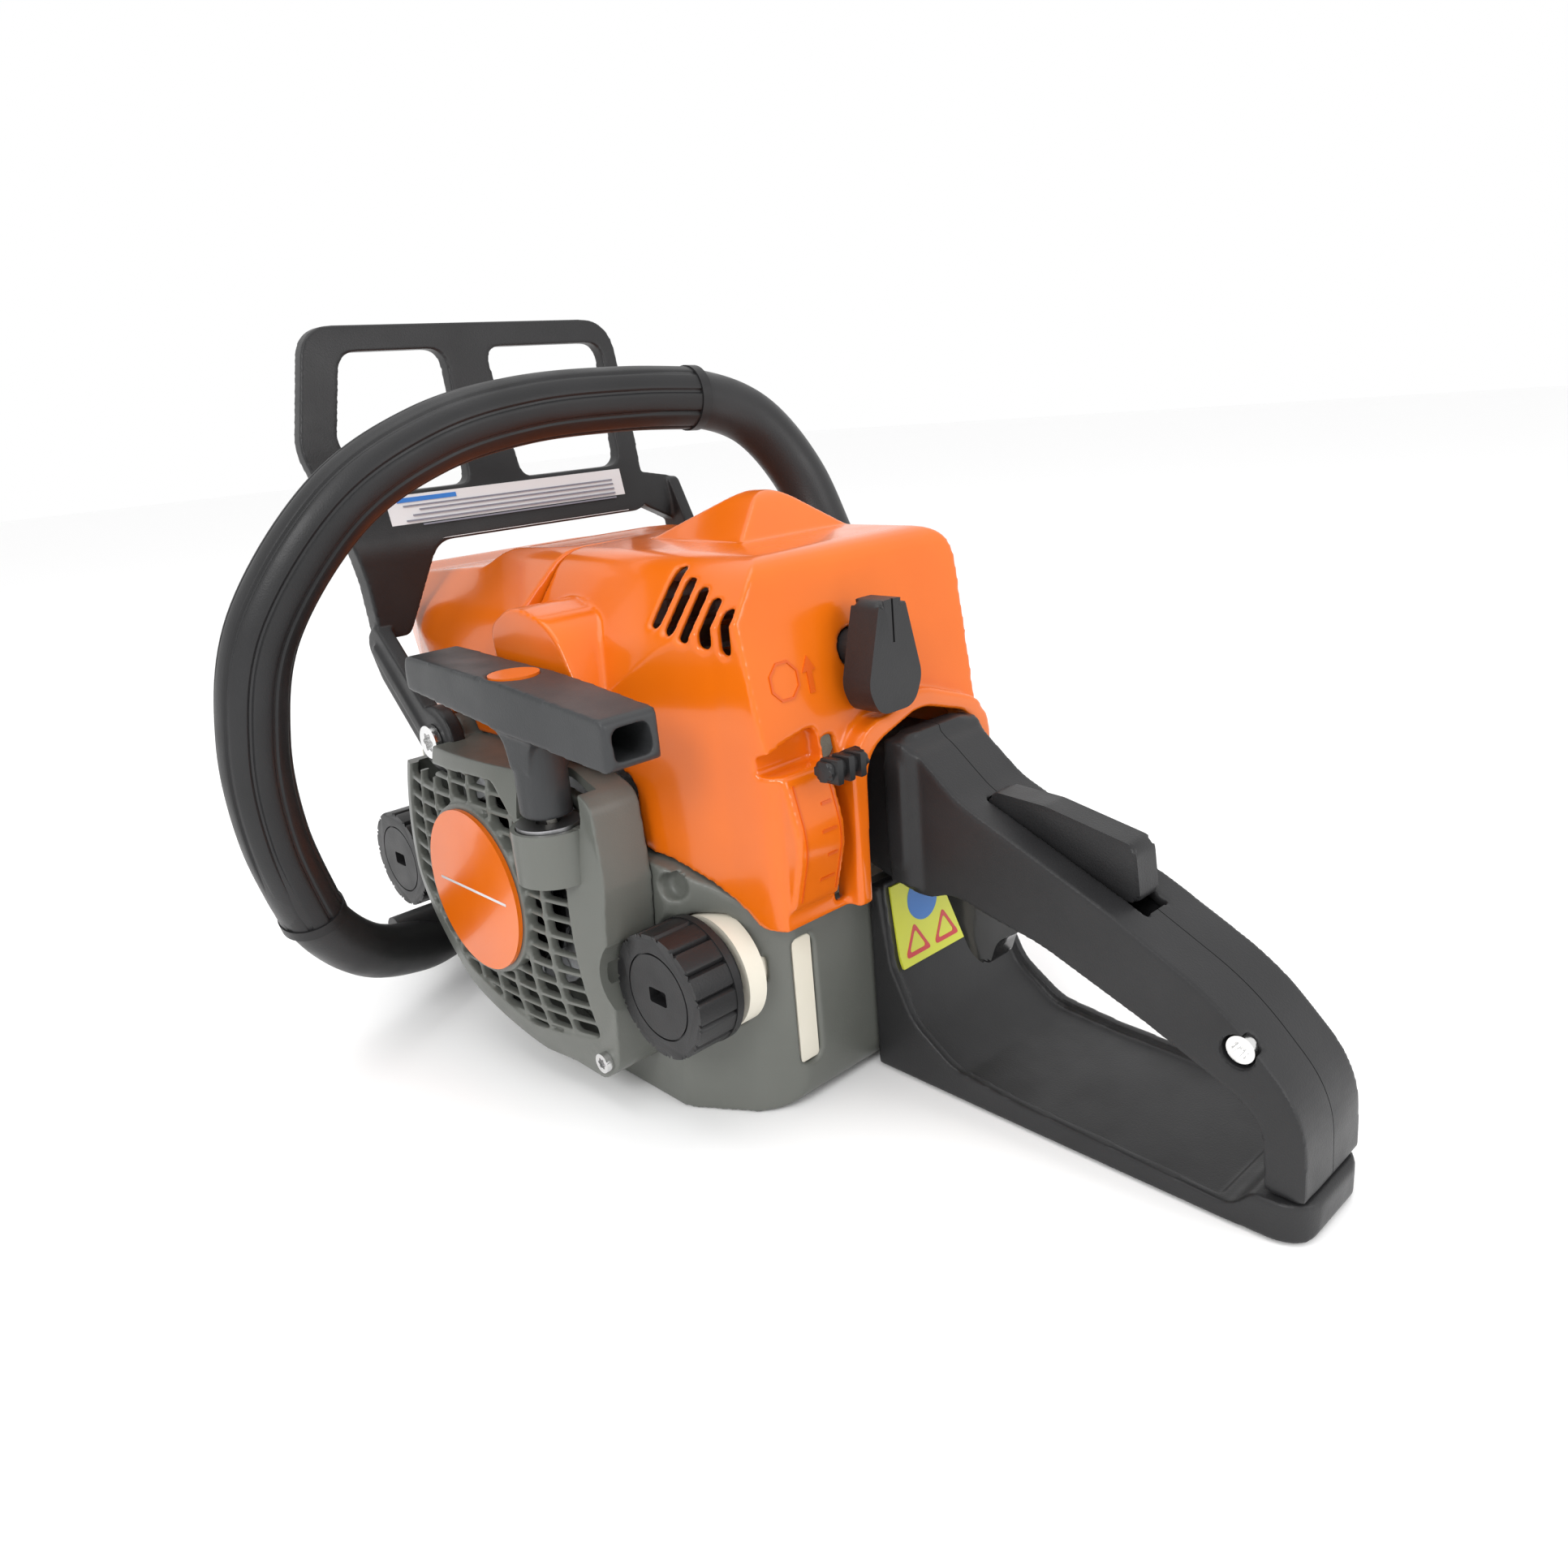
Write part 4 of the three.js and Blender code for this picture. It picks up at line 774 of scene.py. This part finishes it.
def makeBaseLabel():
    dress(basePatch(-18, 14, 37, 66, 0), "baseLabel", "yellow", angle=40)
    sign = meet(prism("x", circle(-1, 57.5, 7.6), -100, -78), basePatch(-18, 14, 40, 66, 0.16))
    dress(sign, "baseLabelDisk", "inkBlue", angle=40)
    warnings = []
    for y, z in ((5, 44), (-10, 44)):
        outer = prism("x", rounded([(y - 6.5, z - 4.5, 1), (y + 6.5, z - 4.5, 1), (y, z + 6.5, 1)]), -125,
                      -78)
        inner = prism("x", rounded([(y - 4.4, z - 3.2, 1), (y + 4.4, z - 3.2, 1), (y, z + 4.3, 1)]), -126,
                      -77)
        warnings.append(meet(cut(outer, inner), basePatch(-18, 14, 37, 62, 0.16)))
    dress(weld(*warnings), "baseLabelTriangles", "inkRed", angle=40)


# ---- controls

def makeTrigger():
    side = rounded([(-106, 88, 8), (-100, 84, 6), (-101, 66, 12), (-111, 46, 10), (-118, 43.5, 6),
                    (-121.5, 54, 10), (-131, 60, 6), (-131, 72, 5), (-118, 76, 6)], 8)
    blade = prism("y", side, -5.6, 5.6, 1.6, 4)
    cut(blade, rod("y", 2.3, -20, 20, -106, 82))
    return dress(blade, "throttleTrigger", "gloss", "throttle_trigger", ["throttle_trigger"],
                 angle=40)


def makeLockout():
    side = rounded([(-118, 92, 3), (-120, 104.2, 4), (-140, 103, 12), (-170, 96.6, 5), (-171.8, 79.5, 3),
                    (-160, 80, 10), (-136, 89, 6), (-127, 90, 4)], 8)
    blade = prism("y", side, -5, 5, 1.4, 4)
    cut(blade, rod("y", 2.1, -20, 20, -123, 95.5))
    return dress(blade, "throttleLockout", "black", "throttle_lockout", ["throttle_lockout"],
                 angle=40)


def makeControlLever():
    arm = rounded([(-56, 93.5, 2), (-98, 117, 3), (-100, 123.2, 2), (-96, 123.6, 2), (-56, 102.5, 2)])
    lever = weld(rod("y", 7, 38, 42, -56, 98, edge=0.8), prism("y", arm, 38, 42, 0.8))
    tabSide = rounded([(-96.5, 117.4, 2), (-103, 117.8, 3), (-104.4, 123.6, 3), (-96.5, 123.8, 2)], 6)
    tab = prism("y", tabSide, 40, 56, 1.4, 4)
    ridges = repeat(block(-105, -98, 43, 45.2, 117, 124.6, 0.6), 3, (0, 0.0048, 0), "cap")
    weld(lever, tab, ridges)
    cut(lever, rod("y", 3.3, 20, 60, -56, 98))
    return dress(lever, "controlLever", "cap", "control_lever", ["control_lever"], angle=40)


# ---- caps, tanks and knob

capStyle = {"lobes": 15, "radius": 20.6, "depth": 17, "notch": 1.5}
tanks = {  # the mouth's x, y, z, its flange's y, and the tank's low and high corners
    "fuel": {"mouth": (-60, 78, 52), "flange": 67, "low": (-74.6, -33.6, 6.4), "high": (-30.4, 49.6, 66)},
    "oil": {"mouth": (128, 71, 52), "flange": 64.7, "low": (93.4, -33.6, 6.4), "high": (145.6, 61.6, 92)},
}


# a ridged cap: its side is notched in even turns, its face has a ring groove and a coin slot
def makeCap(liquid):
    x, y, z = tanks[liquid]["mouth"]
    lobes, radius, depth = capStyle["lobes"], capStyle["radius"], capStyle["depth"]
    outline = []
    for k in range(lobes * 16):
        angle = k * math.tau / (lobes * 16)
        dip = max(0, math.cos(lobes * angle)) ** 11 * capStyle["notch"]
        outline.append((x + (radius - dip) * math.cos(angle), z + (radius - dip) * math.sin(angle)))
    cap = prism("y", outline, y + 1.2, y + depth, 0.9, 3)
    skirt = rod("y", radius + 0.35, y, y + 2.6, x, z, 96, 0.7)
    weld(cap, skirt, rod("y", 10.4, y - 12, y - 8, x, z, 64), rod("y", 13, y - 8.4, y + 1, x, z, 64))
    face = y + depth
    groove = cut(rod("y", 14.6, face - 0.8, face + 2, x, z, 96), rod("y", 14, face - 3, face + 3, x, z, 96))
    slot = rounded([(x - 4.2, z - 2.6, 1), (x + 4.2, z - 2.6, 1), (x + 4.2, z + 2.6, 1),
                    (x - 4.2, z + 2.6, 1)])
    cut(cap, groove, prism("y", slot, face - 4, face + 2))
    return dress(cap, f"{liquid}Cap", "cap", f"{liquid}_cap", [f"{liquid}_cap"], angle=32)


# a tank with its neck; the fuel tank also has the clear gauge strip
def makeTank(liquid):
    (x, y, z), low, high = tanks[liquid]["mouth"], tanks[liquid]["low"], tanks[liquid]["high"]
    neck = rod("y", 19.2, y - 11, y - 4, x, z, 96, 0.8)
    weld(neck, rod("y", 12.6, low[1] + 10, y - 10, x, z, 64),
         block(low[0], high[0], low[1], high[1], low[2], high[2], 1.6))
    if liquid == "fuel":
        weld(neck, block(low[0] - 3.2, low[0] + 1, 46, 54, 15.6, 60.4, 0.6))
    wall = 2.2
    cut(neck, block(low[0] + wall, high[0] - wall, low[1] + wall, high[1] - wall, low[2] + wall,
                    high[2] - wall),
        rod("y", 11, high[1] - 6, y - 3, x, z, 64), rod("y", 14.4, y - 9, y - 3, x, z, 64))
    return dress(neck, f"{liquid}Tank", "tank", nodes=[f"{liquid}_tank"], angle=35)


def makeKnob():
    rear = rounded([(10, 140, 9), (16.5, 165, 4), (27.5, 165, 4), (34, 140, 9), (30, 131, 10), (14, 131, 10)],
                   8)
    wing = prism("x", rear, -99.5, -88.4, 2.4, 5)
    weld(wing, rod("x", 5.8, -92, -74, 22, 149))
    cut(wing, block(-102, -98.9, 21.6, 22.4, 152, 168))
    return dress(wing, "filterKnob", "cap", "filter_knob", ["filter_knob"], angle=40)


# ---- screws

screwStyle = {"lobes": 6, "head": 2.4, "recess": 1.9}
screws = [  # name, its modelled node, x, z, seat, tip, head's radius, shank's radius
    ("guardScrewLeft", "guard_screw_left", *guardPivot, 98.3, 83, 6, 2.5),
    ("guardScrewRight", "guard_screw_right", *guardPivot, -46.8, -37, 5, 2.5),
    ("handleScrewRear", "handle_screw_rear", -207, 51, 12.6, -13, 4, 1.9),
    ("starterScrew1", None, -31.5, 20.5, 98.6, 94, 3.4, 1.6),
    ("starterScrew2", None, 71, 62, 98.6, 94, 3.4, 1.6),
]


# a plated button-head screw with a six-lobed recess
def makeScrew(name, node, x, z, seat, tip, radius, shank):
    out = 1 if seat > tip else -1
    top = seat + out * screwStyle["head"]
    head = prism("y", circle(x, z, radius, 64), min(seat, top), max(seat, top), 0.9, 3)
    star = []
    for k in range(72):
        angle = k * math.tau / 72
        reach = 0.52 * radius * (1 + 0.16 * math.cos(screwStyle["lobes"] * angle))
        star.append((x + reach * math.cos(angle), z + reach * math.sin(angle)))
    floor = top - out * screwStyle["recess"]
    weld(head, rod("y", shank, min(seat + out, tip), max(seat + out, tip), x, z, 32))
    cut(head, prism("y", star, min(floor, top + out), max(floor, top + out)))
    return dress(head, name, "chrome", nodes=[node] if node else (), angle=30)


# ---- housing

housingStyle = {"round": 4.5, "skin": 0.9}


def makeHousing():
    side = rounded([(-79, 0, 10), (148, 0, 18), (150, 60, 12), (146, 112, 10), (60, 114, 8), (-20, 100, 8),
                    (-32, 92, 8), (-50, 68, 8), (-79, 68, 4)], 8)
    plan = rounded([(-79, -38, 8), (-79, 54, 10), (-70, 66, 10), (-48, 80, 8), (78, 80, 6), (86, 67, 8),
                    (146, 65, 14), (150, -38, 16)], 8)
    shell = meet(prism("y", side, -38, 80, housingStyle["round"], 4), prism("z", plan, -1, 130))
    raised = rounded([(-78.9, 60), (-78.9, 68.6, 3), (-72, 74.2, 6), (-62, 80.8, 6), (-48, 86.8, 6),
                      (-36, 89.2, 4), (-24, 90), (-24, 60)])
    weld(shell, meet(prism("y", raised, 40, 79.9, 1.2), prism("z", plan, -1, 130)))
    gauge = rounded([(45.5, 15, 4.5), (54.5, 15, 4.5), (54.5, 61, 4.5), (45.5, 61, 4.5)], 8)
    cut(shell, block(-75, -30, -34, 50, 6, 120), block(-26, 88, -34, 76, 14, 130),
        block(93, 146, -34, 62, 6, 130), prism("x", gauge, -90, -60),
        rod("y", 12, -50, 90, crankX, crankZ), *[rod("y", 4.4, -50, 0, x, studZ) for x in studX],
        rod("y", 4.6, 74.5, 90, -50.5, 80.5))
    for tank in tanks.values():
        x, y, z = tank["mouth"]
        cut(shell, rod("y", 13, 40, 90, x, z), rod("y", 19.8, tank["flange"] - 0.3, 90, x, z, 96),
            rod("y", 21.8, y - 0.3, 120, x, z, 96))
    soften(shell, housingStyle["skin"], 4, 0.35)
    return dress(shell, "engineHousing", "grey", nodes=["engine_housing"])


# ---- clutch side

sprocketStyle = {"ring": 36, "vents": [(48, 92), (62, 86), (76, 80)], "nut": 7.5, "washer": 8.6, "skin": 0.8}


def makeSprocketCover():
    shape = rounded([(-19, 36, 18), (-4, 24, 16), (138, 24, 16), (142, 84, 16), (104, 98, 14), (44, 104, 14),
                     (36, 112, 12), (-8, 112, 22), (-19, 96, 16)], 8)
    hollow = rounded([(-16, 38, 14), (-3, 27, 12), (160, 27), (160, 82), (103, 95, 12), (42, 101, 12),
                      (33, 109, 10), (-7, 109, 18), (-16, 95, 12)], 8)
    cover = meet(prism("y", shape, -62, -20, 4, 4), block(-60, 200, -80, -38.3, 0, 140))
    ring = cut(rod("y", sprocketStyle["ring"], -64, -60.9, crankX, crankZ, 96),
               rod("y", sprocketStyle["ring"] - 2.5, -66, -59, crankX, crankZ, 96))
    cut(cover, prism("y", hollow, -59.4, -20), *[rod("y", 4.4, -80, -30, x, studZ) for x in studX], ring)
    for x, z in sprocketStyle["vents"]:
        vent = rounded([(x - 2.6, z - 13, 2), (x + 2.6, z - 13, 2), (x + 2.6, z + 8, 2), (x - 2.6, z + 8, 2)])
        cut(cover, prism("y", vent, -80, -50))
    soften(cover, sprocketStyle["skin"], 5, 0.35)
    return dress(cover, "sprocketCover", "black", nodes=["sprocket_cover"])


def makeCoverNuts():
    nutRadius, washer = sprocketStyle["nut"], sprocketStyle["washer"]
    for i, x in enumerate(studX):
        nut = meet(prism("y", circle(x, studZ, nutRadius, 6), -69, -62.3, 0.5, 2),
                   rod("y", nutRadius - 0.3, -70, -60, x, studZ, 48, 0.8))
        weld(nut, rod("y", washer, -63.6, -62.3, x, studZ, 48, 0.4))
        cut(nut, rod("y", 4.3, -90, -50, x, studZ, 32))
        dress(nut, f"coverNut{i + 1}", "steel", nodes=[f"cover_nut_{i + 1}"], angle=30)


# ---- finishes for the parts that keep their modelled shape

partFinish = {
    "steel": ["crankshaft", "connecting_rod", "spark_plug", "rewind_spring", "trigger_pin", "lockout_pin",
              "throttle_rod", "control_shaft", "spring_rear", "clutch_shoes", "sprocket_drum", "brake_band",
              "bar_stud_1", "bar_stud_2", "tensioner_screw", "tensioner_nut"],
    "aluminium": ["crankcase", "cylinder", "piston", "flywheel", "carburettor", "chain_catcher"],
    "brass": ["throttle_butterfly", "choke_butterfly", "oil_pump"],
    "hotSteel": ["muffler"],
    "rubber": ["fuel_cap_gasket", "oil_cap_gasket"],
    "felt": ["air_filter"],
    "gloss": ["rope_rotor"],
    "cap": ["ignition_module"],
    "black": ["handle_foot_right"],
}


def finishParts():
    for look, nodes in partFinish.items():
        for node in nodes:
            for holder in bpy.data.objects[node].material_slots:
                holder.material = finish[look]


# ---- making

setCamera()
setStudio()
makeFilterCover()
makeShroud()
makeCoverMarks()
print("covers made")
makeStarterCover()
makeBadge()
makeStarterGrip()
makeBushing()
makeRope()
print("starter made")
makeFrontHandle()
makeHandGuard()
makeGuardLabel()
print("front handle and guard made")
makeRearHandle()
makeRearBase()
makeBaseLabel()
makeTrigger()
makeLockout()
makeControlLever()
print("rear handle and controls made")
makeKnob()
for liquid in tanks:
    makeCap(liquid)
for liquid in tanks:
    makeTank(liquid)
for screw in screws:
    makeScrew(*screw)
print("caps, knob and screws made")
makeHousing()
makeSprocketCover()
makeCoverNuts()
finishParts()
print("housing and clutch side made")
